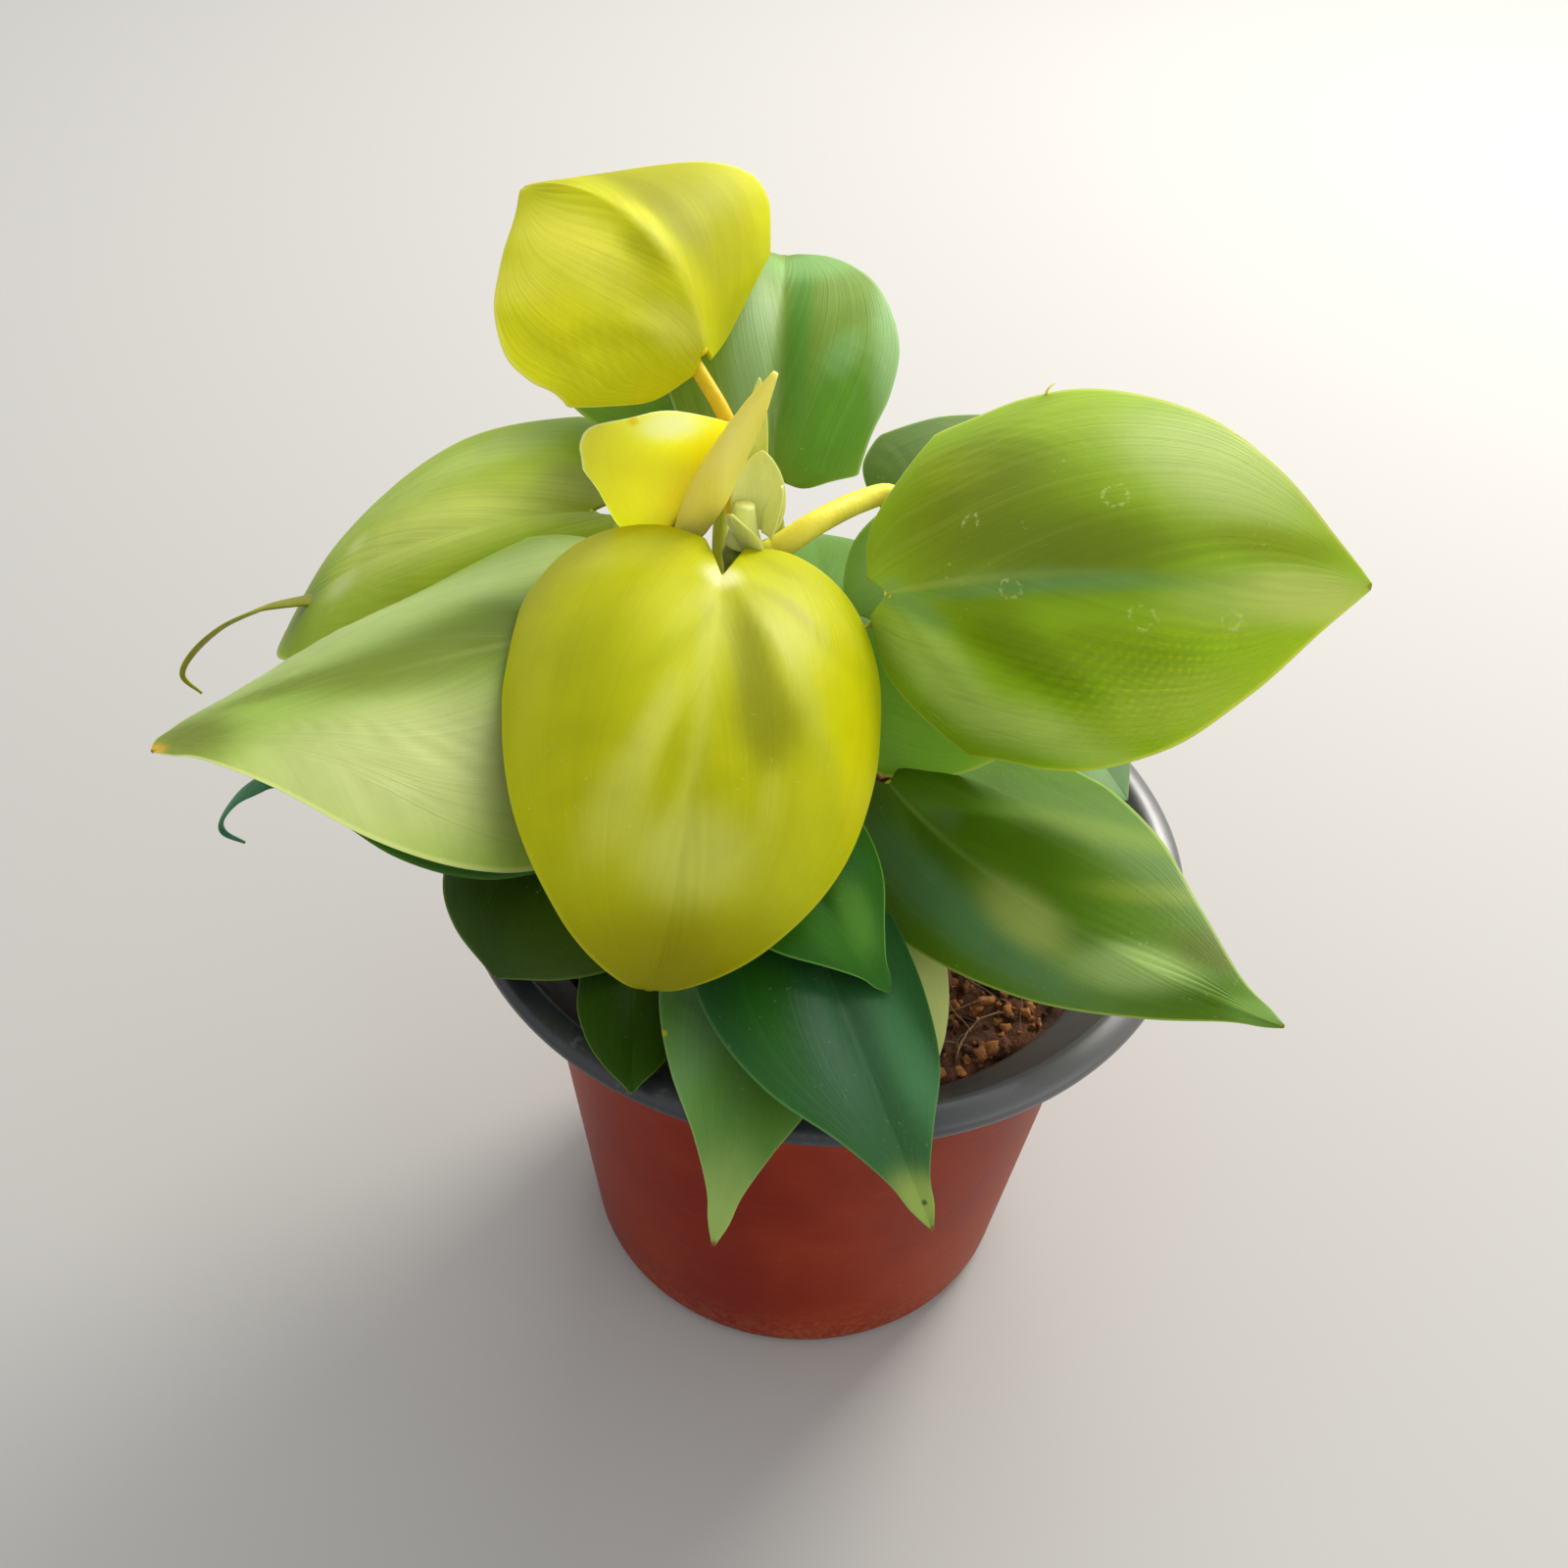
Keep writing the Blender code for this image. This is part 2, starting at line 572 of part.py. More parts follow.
def inner_radius(height):
    """Inside radius of the pot's wall between the corner of its floor and its shoulder."""
    low, high = FOOT + WALL, POT_HEIGHT - FUNNEL_DROP
    share = (height - low) / (high - low)
    narrow = BASE_RADIUS - WALL
    return narrow + (SHOULDER_RADIUS - 2.0 - narrow) * share


def soil_radius(height):
    """Radius that leaves the clearance inside the flats of the wall."""
    return inner_radius(height) * math.cos(math.pi / POT_SIDES) - CLEARANCE


def build_pot(parts, cutters, material):
    top = POT_HEIGHT
    profile = [
        (0.0, WALL),
        (BASE_RADIUS - FOOT - WALL, WALL),
        (BASE_RADIUS - WALL, FOOT + WALL),
        (inner_radius(top - FUNNEL_DROP), top - FUNNEL_DROP),
        (SHOULDER_RADIUS + 0.6, top - 5.6),
        (RIM_RADIUS - 5.6, top - 1.2),
        (RIM_RADIUS - 4.5, top),
        (RIM_RADIUS - 2.6, top - 0.2),
        (RIM_RADIUS - 0.4, top - 1.1),
        (RIM_RADIUS, top - 2.0),
        (RIM_RADIUS - 0.2, top - 3.2),
        (RIM_RADIUS - 4.6, top - 2.8),
        (SHOULDER_RADIUS + 1.2, top - 7.6),
        (SHOULDER_RADIUS - 0.6, top - 10.0),
        (BASE_RADIUS, FOOT),
        (BASE_RADIUS - FOOT * 0.3, FOOT * 0.3),
        (BASE_RADIUS - FOOT, 0.0),
        (0.0, 0.0),
    ]
    pot = turned("pot", profile, POT_SIDES, parts)
    for number in range(DRAIN_HOLES):
        turn = 2 * math.pi * number / DRAIN_HOLES
        x = DRAIN_CIRCLE * math.cos(turn)
        y = DRAIN_CIRCLE * math.sin(turn)
        cut(pot, cylinder(f"drain_{number}", DRAIN_RADIUS, -3, WALL + 3, x, y, cutters))
    pot.data.materials.append(material)
    return pot


def soil_relief(x, y):
    """Lumpy height of the soil, in millimetres."""
    broad = math.sin(0.19 * x + 0.6) * math.cos(0.23 * y - 0.4)
    fine = math.sin(0.61 * x - 0.37 * y) * math.cos(0.53 * y + 0.29 * x)
    return SOIL_RELIEF * (0.7 * broad + 0.5 * fine)


def build_soil(parts, cutters, material):
    floor = WALL + CLEARANCE
    edge = SOIL_TOP - SOIL_EDGE_DROP
    corner = BASE_RADIUS - FOOT - WALL - CLEARANCE
    profile = [(ring, SOIL_TOP) for ring in SOIL_RINGS]
    profile += [
        (soil_radius(edge), edge),
        (soil_radius(FOOT + WALL), FOOT + WALL + CLEARANCE),
        (corner, floor),
        (0.0, floor),
    ]
    blank = turned("soil_blank", profile, SOIL_SIDES, parts)
    mesh = evaluated_mesh(blank)
    bpy.data.objects.remove(blank, do_unlink=True)
    split_into_triangles(mesh)
    for vert in mesh.vertices:
        if vert.co.z > (SOIL_TOP - 0.1) * MM:
            vert.co.z += soil_relief(vert.co.x / MM, vert.co.y / MM) * MM
    soil = add_object("soil", mesh, parts, material)
    for name, spec in STEMS.items():
        x, y, bottom = spec["path"][0]
        bore = spec["radius"] * STEM_SWELL + 2 * CLEARANCE
        cut(soil, cylinder(name + "_hole", bore, bottom - 1, SOIL_TOP + 8, x, y, cutters))
    return soil


def shade_smooth(item):
    item.data.shade_smooth()
    item.data.set_sharp_from_angle(angle=math.radians(40))


def main():
    clear_scene()
    parts, cutters = make_collections()
    pot_plastic = make_material("pot_plastic", (0.30, 0.07, 0.03), 0.5)
    peat = make_material("coco_peat", (0.20, 0.07, 0.03), 0.95)
    stem_green = make_material("stem_green", (0.20, 0.26, 0.05), 0.5)
    sheath_pale = make_material("sheath_pale", (0.50, 0.52, 0.16), 0.5)

    shapes = [build_pot(parts, cutters, pot_plastic), build_soil(parts, cutters, peat)]
    for name, spec in STEMS.items():
        shapes.append(build_stem(name, spec, parts, stem_green))
    shapes.append(build_growing_tip(parts, cutters, sheath_pale))
    for name, spec in LEAVES.items():
        shapes.append(build_leaf(name, spec, parts, cutters))
    for shape in shapes:
        shade_smooth(shape)


main()
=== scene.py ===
# Looks of the potted golden heartleaf philodendron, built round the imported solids.
# Lengths in the tables are in millimetres and angles in degrees; meshes are in metres.
import math
import random

import bmesh
import bpy
import numpy as np
from mathutils import Matrix, Vector, noise


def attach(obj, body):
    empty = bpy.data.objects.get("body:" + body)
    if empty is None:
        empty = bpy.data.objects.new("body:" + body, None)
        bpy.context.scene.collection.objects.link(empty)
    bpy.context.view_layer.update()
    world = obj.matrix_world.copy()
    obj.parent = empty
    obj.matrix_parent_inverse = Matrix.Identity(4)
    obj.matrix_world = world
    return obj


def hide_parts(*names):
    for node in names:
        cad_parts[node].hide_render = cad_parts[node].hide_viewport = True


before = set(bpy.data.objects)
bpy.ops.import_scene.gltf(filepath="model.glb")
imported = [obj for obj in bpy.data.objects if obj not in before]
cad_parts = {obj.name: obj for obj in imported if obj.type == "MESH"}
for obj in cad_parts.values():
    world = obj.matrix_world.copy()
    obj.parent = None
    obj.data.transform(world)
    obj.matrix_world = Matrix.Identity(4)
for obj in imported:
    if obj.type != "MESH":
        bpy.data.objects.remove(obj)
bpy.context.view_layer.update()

MM = 0.001
BODY = "root"
SEED = 20

# Pot and soil, as in the solids
RIM_RADIUS = 62.5
POT_HEIGHT = 94.0
BASE_RADIUS = 40.5
SHOULDER_RADIUS = 51.5
WALL = 1.2
FOOT = 3.0
FUNNEL_DROP = 8.0
DRAIN_HOLES = 8
DRAIN_RADIUS = 3.5
DRAIN_CIRCLE = 27.0
POT_SIDES = 48

# The pot's lip from inside over the rim to below it: steps in from the rim's radius and down
# from its top. The first ones are black. Then steps out from the shoulder's radius and down
# from the top, and shares of the foot's height in from the base's radius and up.
LIP_STEPS = [
    (6.6, 1.9), (5.6, 1.2), (5.1, 0.5), (4.5, 0.05), (3.6, 0), (2.6, 0.2), (1.3, 0.55),
    (0.4, 1.1), (0.08, 1.6), (0, 2.0), (0.05, 2.8), (0.2, 3.2), (1.0, 3.1), (4.6, 2.8),
]
BLACK_LIP_STEPS = 11
SHOULDER_STEPS = [(2.4, 6.4), (1.2, 7.6), (-0.1, 8.7), (-0.6, 10.0), (-0.75, 11.2)]
FOOT_SHARES = [(0, 1), (0.12, 0.62), (0.3, 0.3), (0.6, 0.08), (1, 0)]

SOIL_TOP = 84.0
SOIL_RELIEF = 1.3
CLEARANCE = 0.3

# Leaves and stems, as in the solids. A petiole leaves its stem with a short straight shoulder
# and meets its blade with a straight neck.
PETIOLE_RADIUS = 1.3
PETIOLE_TAPER = (1.15, 0.85)
PETIOLE_GAP = 0.45
SHOULDER = 1.8
NECK = 3.5
STEM_SWELL = 1.18
ROLLED_RADII = (2.2, 2.9, 3.3, 3.5, 3.4, 3.2, 2.7, 1.9, 0.5)

# Only in the looks: how much a petiole flares at its foot and a stem swells under each leaf
PETIOLE_FLARE = 0.12
NODE_SWELL = 0.07

# Along a curling tip: its half width and how flat it is, each at a share of its length
TAIL_RADII = [(0, 2.4), (0.25, 1.7), (0.7, 0.8), (1, 0.25)]
TAIL_FLATNESS = [(0, 0.22), (0.5, 0.3), (1, 0.7)]
TAIL_TURN = 0.9

# A blade: where a hooked tip starts, how its rows crowd and sweep, in how many steps a curve
# is followed, and how the veins run
HOOK_START = 0.72
ROW_CROWDING = 1.7
ROW_SWEEP = 1.15
RIB_STEPS = 200
VEIN_ARCH = 1.6
VEIN_SPREAD = 1.3
VEIN_COUNT = 9

# Thickness of a dressed blade at its rib and at its margin
RIB_THICKNESS = 0.7
MARGIN_THICKNESS = 0.28

# The rib: how far its groove and its keel reach to each side, the groove's depth above and
# the keel's height below, and how far the blade thickens beside it
RIB_REACH = 0.8
RIB_GROOVE = 0.12
RIB_KEEL = 0.35
THICK_REACH = 5

# Scales of the noise on a blade: patches, specks of dust, cells, and how many bands and
# lines run along the veins
PATCH_SCALE = 60.0
DUST_SCALE = 1100.0
CELL_SCALE = 1700.0
VEIN_BANDS = 15.0
VEIN_LINES = 55.0

# The peat's edge lies this far below its top. Its grain is noise of three sizes, each with
# its height.
PEAT_EDGE_DROP = 1.5
PEAT_GRAIN = [(5.5, 0.9), (2.2, 0.55), (0.9, 0.3)]

# Loose crumbs on the peat: smallest and largest half size, and how soon large ones grow rare
CRUMBS = 2300
CRUMB_SIZES = (0.32, 1.9)
CRUMB_RARITY = 2.2

# Loose fibres on the peat: shortest and longest, flattest and highest arch, finest and
# thickest, and how far each bends on the whole and wanders at every step
FIBRES = 170
FIBRE_STEPS = 14
FIBRE_LENGTHS = (5, 20)
FIBRE_LIFTS = (0.3, 2.2)
FIBRE_WIDTHS = (0.09, 0.24)
FIBRE_BEND = 0.16
FIBRE_WANDER = 0.12

# Colours as they look, 0 to 255: marks on the blades, then light and dark shades of stalks
TIP_BROWN = (118, 84, 26)
SPECK_PALE = (214, 220, 170)
SCAR_PALE = (200, 210, 140)
STEM_SHADES = [(140, 150, 60), (98, 96, 40)]
SHEATH_SHADES = [(226, 226, 140), (200, 206, 106)]
ROLL_SHADES = [(252, 240, 132), (244, 226, 92)]

# Linear colours. A glow says how far red, green and blue light spread inside. Peat is dark
# then light. Plastic is new, worn, and a dust colour that also serves as painted sunlight, with its
# roughness, its shine and how far painted sunlight lightens its right side.
STALK_PALE = (0.85, 0.88, 0.62)
BLADE_GLOW = (0.8, 1.0, 0.1)
STALK_GLOW = (0.8, 0.9, 0.2)
PEAT_GROUND = [(0.020, 0.006, 0.003), (0.20, 0.07, 0.025)]
PEAT_CRUMB = [(0.050, 0.014, 0.004), (0.56, 0.215, 0.062)]
PEAT_FIBRE = [(0.10, 0.045, 0.02), (0.45, 0.27, 0.12)]
PEAT_PALE = (0.50, 0.24, 0.10)
RED_PLASTIC = [(0.19, 0.010, 0.001), (0.27, 0.028, 0.005), (0.34, 0.13, 0.06), 0.42, 0.12, 0.12]
BLACK_PLASTIC = [(0.010, 0.012, 0.014), (0.030, 0.033, 0.037), (0.20, 0.19, 0.18), 0.32, 0.5, 0.55]

# Half outlines of leaves from the inner edge of the lobe round to the tip.
# The first number is a share of the half width. The second is a share of the length
# ahead of the petiole, or of the lobe's length where it is negative.
HEART_LOBE = [(0.10, -0.80), (0.34, -1.00), (0.68, -0.86), (0.92, -0.30)]
SHARP_TIP = [(0.20, 0.93), (0.07, 0.98), (0.012, 1.0)]

# A heart, one with a slimmer tip, and one with a tip drawn out into a narrow point
HEART_OUTLINE = HEART_LOBE + [
    (1.00, 0.16), (0.95, 0.36), (0.76, 0.60), (0.46, 0.80), (0.17, 0.93), (0.06, 0.98), (0.012, 1.0),
]
SLIM_OUTLINE = HEART_LOBE + [
    (1.00, 0.16), (0.96, 0.36), (0.77, 0.59), (0.44, 0.78), (0.155, 0.91), (0.07, 0.97), (0.012, 1.0),
]
DRAWN_OUTLINE = HEART_LOBE + [
    (1.00, 0.12), (0.96, 0.32), (0.76, 0.52), (0.42, 0.70), (0.19, 0.84), (0.11, 0.93), (0.012, 1.0),
]

# Two that widen towards the middle, and the young leaf with its broad free corner
ROUND_OUTLINE = [
    (0.08, -0.70), (0.34, -1.00), (0.64, -0.50), (0.86, 0.04),
    (0.98, 0.24), (0.98, 0.44), (0.80, 0.66), (0.50, 0.82),
] + SHARP_TIP
TAPERED_OUTLINE = [
    (0.08, -0.70), (0.28, -1.00), (0.52, -0.40), (0.76, 0.06),
    (0.95, 0.26), (1.00, 0.44), (0.82, 0.66), (0.51, 0.82),
] + SHARP_TIP
YOUNG_OUTLINE = [
    (0.11, -0.79), (0.23, -1.00), (0.41, -0.93), (0.69, -0.30), (0.91, 0.06), (1.00, 0.21),
    (0.99, 0.37), (0.78, 0.56), (0.55, 0.76), (0.23, 0.87), (0.025, 0.905),
]

STEMS = {
    "stem_main": {"radius": 3.0, "path": [(-9, 15, 66), (-9, 15, 95), (-13, 13, 122), (-17, 11.5, 147)]},
    "stem_front": {"radius": 2.6, "path": [(-13, -14, 66), (-13, -14, 88), (-12, -14, 106)]},
    "stem_right": {"radius": 2.6, "path": [(14, 6, 66), (14, 6, 88), (14, 5, 103)]},
    "stem_left": {"radius": 2.6, "path": [(-28, 8, 66), (-28, 8, 90), (-30, 8, 110)]},
}

# Colours are as they look, 0 to 255. A wash is a soft patch on a blade: its place right of
# the rib and ahead of the petiole, half length, half width, turn from the rib, colour and
# cover. Washes give the blade's own patches of colour and also painted highlights, painted
# sheen and painted shade. A ray is a soft fold: its angle from the rib, spread, height and reach.
# A scar is a ring of its own radius and a nick a stain of its own size. lines and ribs say how
# strongly the arching veins show, in colour and in relief, and edge how strongly the pale margin does.
LEAF_DEFAULTS = {
    "outline": HEART_OUTLINE, "lobe_drop": 10, "droop": 30, "hook": 0, "curl": 30, "side": 0,
    "fold": 0, "skew": 0, "twist": 0, "belly": 0, "petiole": PETIOLE_RADIUS, "wave": 0.4,
    "rays": [], "washes": [], "scars": [], "nicks": [], "lines": 0.8, "ribs": 0.05,
    "roughness": 0.42, "glow": 0.20, "shine": 0.20, "edge": 0.6, "margin": (150, 180, 80),
    "petiole_colour": (176, 182, 44),
}
LEAVES = {}


def leaf(name, base, aim, size, joint, net, via, **values):
    """Where a blade starts; its heading, pitch and roll; its length, width and lobe; its stem,
    with the height, the direction and the last lean of its petiole; its columns, rows and seed;
    and the places that its petiole passes."""
    spec = {**LEAF_DEFAULTS, **values, "base": base, "via": via}
    spec.update(zip(("heading", "pitch", "roll"), aim))
    spec.update(zip(("length", "width", "lobe"), size))
    spec.update(zip(("stem", "height", "toward", "arrive"), joint))
    spec.update(zip(("columns", "rows", "seed"), net))
    LEAVES[name] = spec


# Its pale washes are painted highlights and the dark wedges beside its rib are painted shade.
leaf("leaf_front_heart", (-19, -4, 152), (-88, 6, 11), (73, 69, 14), ("stem_main", 128, -80, 75),
     (84, 110, 3), [(-16, 1, 140)], droop=82, hook=36, curl=76, side=-7, fold=13, belly=0.04, edge=0.3,
     tone=(174, 175, 0), margin=(196, 192, 40), lines=0.5, ribs=0.05, rays=[(-62, 8, -0.25, 22),
        (-33, 7, 0.45, 42), (-15, 7, -0.35, 38), (2, 5, 0.3, 60), (17, 6, -0.25, 34), (32, 7, 0.2, 40)],
     shine=0.12, washes=[(-2, 67, 13, 21, 0, (134, 128, 0), 0.95), (17, 24, 13, 8, 0, (156, 160, 0), 0.6),
        (-28, 30, 18, 5, -6, (192, 186, 0), 0.8), (27, 34, 16, 3.5, 4, (182, 182, 25), 0.6),
        (14, -4, 9, 6, 70, (190, 191, 62), 0.55), (-18, -2, 9, 5, -60, (176, 176, 44), 0.6),
        (-9, -6, 5, 2, -70, (164, 162, 10), 0.7), (-1, 48, 7, 9, 0, (194, 196, 84), 0.8),
        (10, 42, 10, 4, 18, (190, 192, 75), 0.6), (0.5, 20, 24, 2.2, 1, (176, 179, 62), 0.75),
        (6.5, 30, 9, 2.4, 16, (192, 194, 76), 0.7), (3.2, 35, 9, 1.7, 10, (164, 166, 0), 0.8),
        (7, 19, 8, 1.6, 36, (160, 164, 0), 0.75), (-6.5, 19, 14, 3.6, -14, (126, 128, 0), 0.95),
        (-9.5, 26, 8, 6, -12, (126, 128, 0), 0.9), (-13, 18, 14, 2.8, -29, (166, 169, 44), 0.8),
        (-12, 5, 7, 1.8, -60, (158, 155, 0), 0.8), (-11.5, 39, 5, 2, 0, (186, 187, 52), 0.7),
        (0, 0.5, 3, 3, 0, (216, 213, 145), 0.9)])
# Its pale washes are painted sheen; its dark olive washes are partly its own colour and partly painted
# shade.
leaf("leaf_right_large", (6.5, 5, 145), (-25, 33, -58), (75, 78, 7), ("stem_main", 143, 48, 100),
     (84, 110, 5),
     [(-6, 18.5, 147.5), (1, 25.5, 147.8), (6.3, 28, 147.7), (10.5, 22, 146), (11.5, 13, 143.5)],
     outline=ROUND_OUTLINE, droop=43, curl=40, side=17, fold=-17, twist=-3, belly=-0.03, petiole=1.8,
     tone=(140, 172, 32), margin=(198, 202, 96), lines=0.8, ribs=0.1, rays=[(-30, 10, 0.4, 44),
        (14, 8, -0.4, 40), (44, 9, -0.5, 36), (62, 9, 0.5, 30)],
     washes=[(-14, 14, 18, 16, 0, (108, 124, 0), 1), (-4.5, 33, 17, 7, 2, (104, 122, 0), 1),
        (-22, 8, 9, 5, 20, (134, 150, 10), 0.6), (-31, 26, 16, 5, 12, (144, 166, 44), 0.7),
        (-19, 51, 17, 9, 34, (178, 198, 112), 0.95), (-5.5, 60, 11, 3, 6, (128, 146, 8), 0.9),
        (3.5, 57, 12, 4.5, -4, (166, 188, 88), 0.8), (16, 5, 15, 6.5, 66, (172, 196, 96), 0.95),
        (30, 22, 18, 6.5, 25, (176, 198, 102), 0.95), (24, 43, 17, 6, -22, (158, 178, 64), 0.85),
        (13, 22, 14, 5, 38, (104, 130, 0), 0.9), (13, 38, 13, 5, 4, (112, 136, 4), 0.7),
        (3, 4, 7, 2.5, 40, (122, 160, 92), 0.7), (1.4, 26, 22, 1.6, 0, (112, 156, 86), 0.85),
        (2.5, 66.5, 10, 4, 0, (196, 206, 106), 0.9)], scars=[(-13.3, 36.6, 1.9), (2.6, 21.3, 1.6),
        (7.1, 41.5, 2.0), (7.4, 55.2, 1.5), (-9.5, 14.9, 1.3), (-2, 11, 1.3)], hair=(-0.99, 0.43),
     petiole_colour=(255, 238, 84))
# The dark washes over its upper right half are painted shade.
leaf("leaf_top_yellow", (-25.5, 28, 172.5), (159, 84, 8), (45.6, 72.4, 6), ("stem_main", 145, 100, 40),
     (84, 100, 7), [(-20.5, 21, 153), (-20.8, 22.8, 162)], outline=ROUND_OUTLINE, droop=117, curl=-7,
     side=-9.4, fold=-19, skew=0.13, twist=-3.2, belly=0.02, roughness=0.5, shine=0.08, tone=(186, 186, 22),
     margin=(206, 200, 84), lines=0.8, ribs=0.06, rays=[(-50, 9, 0.3, 34), (-20, 8, 0.35, 40),
        (20, 8, -0.3, 34), (50, 9, 0.25, 30)], washes=[(17, 20, 26, 17, 8, (150, 148, 0), 0.9),
        (12, 24, 16, 5, 4, (128, 126, 0), 0.7), (30, 12, 14, 3, 16, (164, 162, 14), 0.7),
        (-9, 27, 14, 6, 2, (210, 206, 72), 0.85), (-20, 33, 10, 5, -14, (206, 200, 70), 0.6),
        (-25, 17, 12, 3, -6, (162, 160, 8), 0.6), (-5, 6, 7, 3.5, -42, (206, 202, 78), 0.75),
        (-16, 10, 9, 2.5, -55, (172, 168, 6), 0.5), (-2.5, 18, 5, 3, 0, (150, 148, 0), 0.7),
        (3, 21, 7, 3, 5, (196, 193, 56), 0.65), (1, 40, 5, 4, 0, (158, 156, 8), 0.7)],
     petiole_colour=(220, 188, 20))
# Its pale bluish washes are painted sheen.
leaf("leaf_back_grey", (-14, 32, 148.4), (91, 60, -2.7), (51.4, 40, 2.5), ("stem_main", 112, 95, 40),
     (60, 80, 9), [(-11, 24, 132)], outline=TAPERED_OUTLINE, droop=80, curl=23, side=1, fold=17,
     tone=(112, 140, 46), margin=(152, 192, 130), lines=0.9, ribs=0.07, rays=[(0, 7, -0.7, 60)],
     roughness=0.44, washes=[(10, 8, 12, 8, 20, (86, 144, 34), 0.8),
        (-4.5, 18, 18, 4, 0, (132, 160, 100), 0.85), (3, 24, 18, 2.4, 2, (80, 136, 42), 0.85),
        (19, 24, 18, 3.5, 0, (150, 190, 126), 0.8), (5, 42, 6, 9, 0, (134, 180, 104), 0.7),
        (11, 20, 5, 3, 30, (126, 172, 102), 0.6)])
leaf("leaf_back_left", (-24, 55, 153), (142, 10, 12), (54, 46, 9), ("stem_main", 104, 130, 50),
     (60, 80, 11), [(-22, 30, 128)], droop=30, curl=30, fold=5, tone=(96, 134, 12), margin=(150, 176, 60))
# Its pale band is painted sheen and the dark patch by its base is a painted shadow.
leaf("leaf_left_upper", (-45, 31.4, 137), (192, -2.5, 13), (74, 49.4, 9), ("stem_main", 134, 150, 50),
     (84, 110, 13), [(-29, 18, 139)], droop=66, curl=39, curl_left=47, side=23.7, fold=7, skew=0.26,
     belly=0.22, tail=[(-103, 33, 110), (-107, 34, 107.5), (-114, 34, 103), (-120.3, 34, 96.4),
        (-123, 33.5, 91), (-120, 33.5, 87)], tone=(150, 174, 36), margin=(178, 200, 96), lines=1.0,
     ribs=0.07, rays=[(-20, 9, 0.4, 50), (20, 9, -0.4, 60)],
     washes=[(18, 24, 24, 6, -14, (172, 192, 92), 0.75), (23, 2, 9, 6, 0, (148, 176, 62), 0.7),
        (5, 2, 8, 7, 0, (118, 130, 0), 0.9), (3, 28, 22, 8, -6, (190, 200, 92), 0.9),
        (-3, 48, 4, 3, 0, (196, 206, 130), 0.6), (6, 47, 3, 2.4, 0, (190, 204, 116), 0.7),
        (-12, 22, 18, 5, 0, (142, 158, 18), 0.7), (-2, 62, 8, 12, 0, (112, 134, 8), 0.85)],
     tail_colour=(160, 162, 20))
# Its pale washes are painted sheen.
leaf("leaf_left_front", (-36.5, -5, 141), (210, 8, 19), (71, 72, 11), ("stem_main", 118, 215, 60),
     (84, 110, 15), [(-26, 2, 130)], outline=DRAWN_OUTLINE, droop=8, curl=54, side=-12, fold=-1, twist=-41,
     belly=0.18, tone=(140, 168, 64), margin=(196, 206, 124), lines=0.8, ribs=0.09, rays=[(34, 9, 0.5, 50),
        (-14, 9, 0.4, 60)], roughness=0.42, washes=[(18, 22, 34, 9, -8, (178, 200, 112), 0.95),
        (20, 46, 16, 6, -10, (170, 192, 104), 0.9), (-18, 36, 32, 14, 4, (168, 177, 108), 0.95),
        (3, 16, 17, 9, 0, (96, 116, 0), 1), (1, 34, 14, 6.5, 4, (104, 120, 10), 0.95),
        (5, 49, 12, 3.2, 12, (114, 130, 30), 0.9), (0, 66, 7, 9, 0, (100, 112, 28), 0.95),
        (0, 70.5, 1.6, 2.4, 0, (196, 150, 20), 0.8)])
# Its pale patches are painted sunlight and its dark olive washes are painted shade.
leaf("leaf_right_lower", (10, 0, 109), (-63.5, 9, -18.5), (80.5, 50, 5), ("stem_right", 92, -100, 70),
     (84, 110, 17), [(12, 0, 101)], outline=SLIM_OUTLINE, droop=22, curl=21, side=-41, fold=-14, skew=-0.3,
     twist=-18.5, belly=-0.03, tone=(78, 112, 10), margin=(150, 180, 82), lines=0.45, ribs=0.09,
     rays=[(-24, 9, 0.4, 50), (10, 8, -0.4, 60)], roughness=0.42,
     washes=[(-10, 14, 22, 13, 0, (72, 104, 4), 0.95), (-20, 34, 18, 4, -20, (112, 136, 30), 0.6),
        (8, 28, 28, 4.5, 2, (84, 126, 76), 0.9), (2.5, 38, 9.5, 4.2, 4, (160, 176, 86), 0.75),
        (1, 57, 10, 4, -25, (158, 184, 104), 0.85), (-8, 66, 7, 4, -14, (84, 98, 12), 0.9),
        (-13, 52, 12, 2.4, -26, (120, 140, 40), 0.6), (0, 76, 4, 3, 0, (108, 144, 60), 0.8)])
leaf("leaf_front_dark", (-2.3, -32, 109.5), (-70.5, 4.3, 6.6), (56, 36.5, 4), ("stem_front", 92, -60, 70),
     (64, 84, 19), [(-8, -25, 98)], outline=DRAWN_OUTLINE, droop=27, curl=44.6, side=-12, fold=12,
     skew=0.13, twist=2.7, belly=0.04, edge=0.35, tone=(34, 76, 34), margin=(84, 130, 84), lines=0.6,
     ribs=0.06, rays=[(0, 8, -0.4, 50)], roughness=0.46, washes=[(11, 16, 16, 5, 8, (34, 82, 16), 0.8),
        (3, 27, 12, 5, 5, (44, 88, 56), 0.8), (-7, 30, 14, 4, 0, (62, 116, 70), 0.7),
        (1, 52, 5, 5, 0, (122, 140, 62), 0.9)], nicks=[((-0.4, 52), 0.6, (60, 74, 30)),
        ((0, 55.8), 1.0, (110, 80, 34))])
leaf("leaf_front_small", (-10, -34, 98.2), (-85, 14.5, 14), (48.6, 29, 4), ("stem_front", 87, -100, 70),
     (56, 76, 21), [(-15, -26, 94)], outline=DRAWN_OUTLINE, droop=55.3, curl=20.8, side=-0.6, fold=10,
     edge=0.4, tone=(94, 136, 62), margin=(136, 170, 104), lines=0.7, ribs=0.06, rays=[(0, 8, -0.4, 50)],
     roughness=0.46, washes=[(8, 18, 14, 4, 12, (108, 150, 90), 0.8),
        (-4, 22, 14, 4, 0, (84, 122, 38), 0.7), (0, 43, 9, 6, 0, (140, 164, 84), 0.9)],
     nicks=[((13, 18.8), 0.9, (190, 180, 60)), ((0, 48.4), 1.0, (120, 86, 34))])
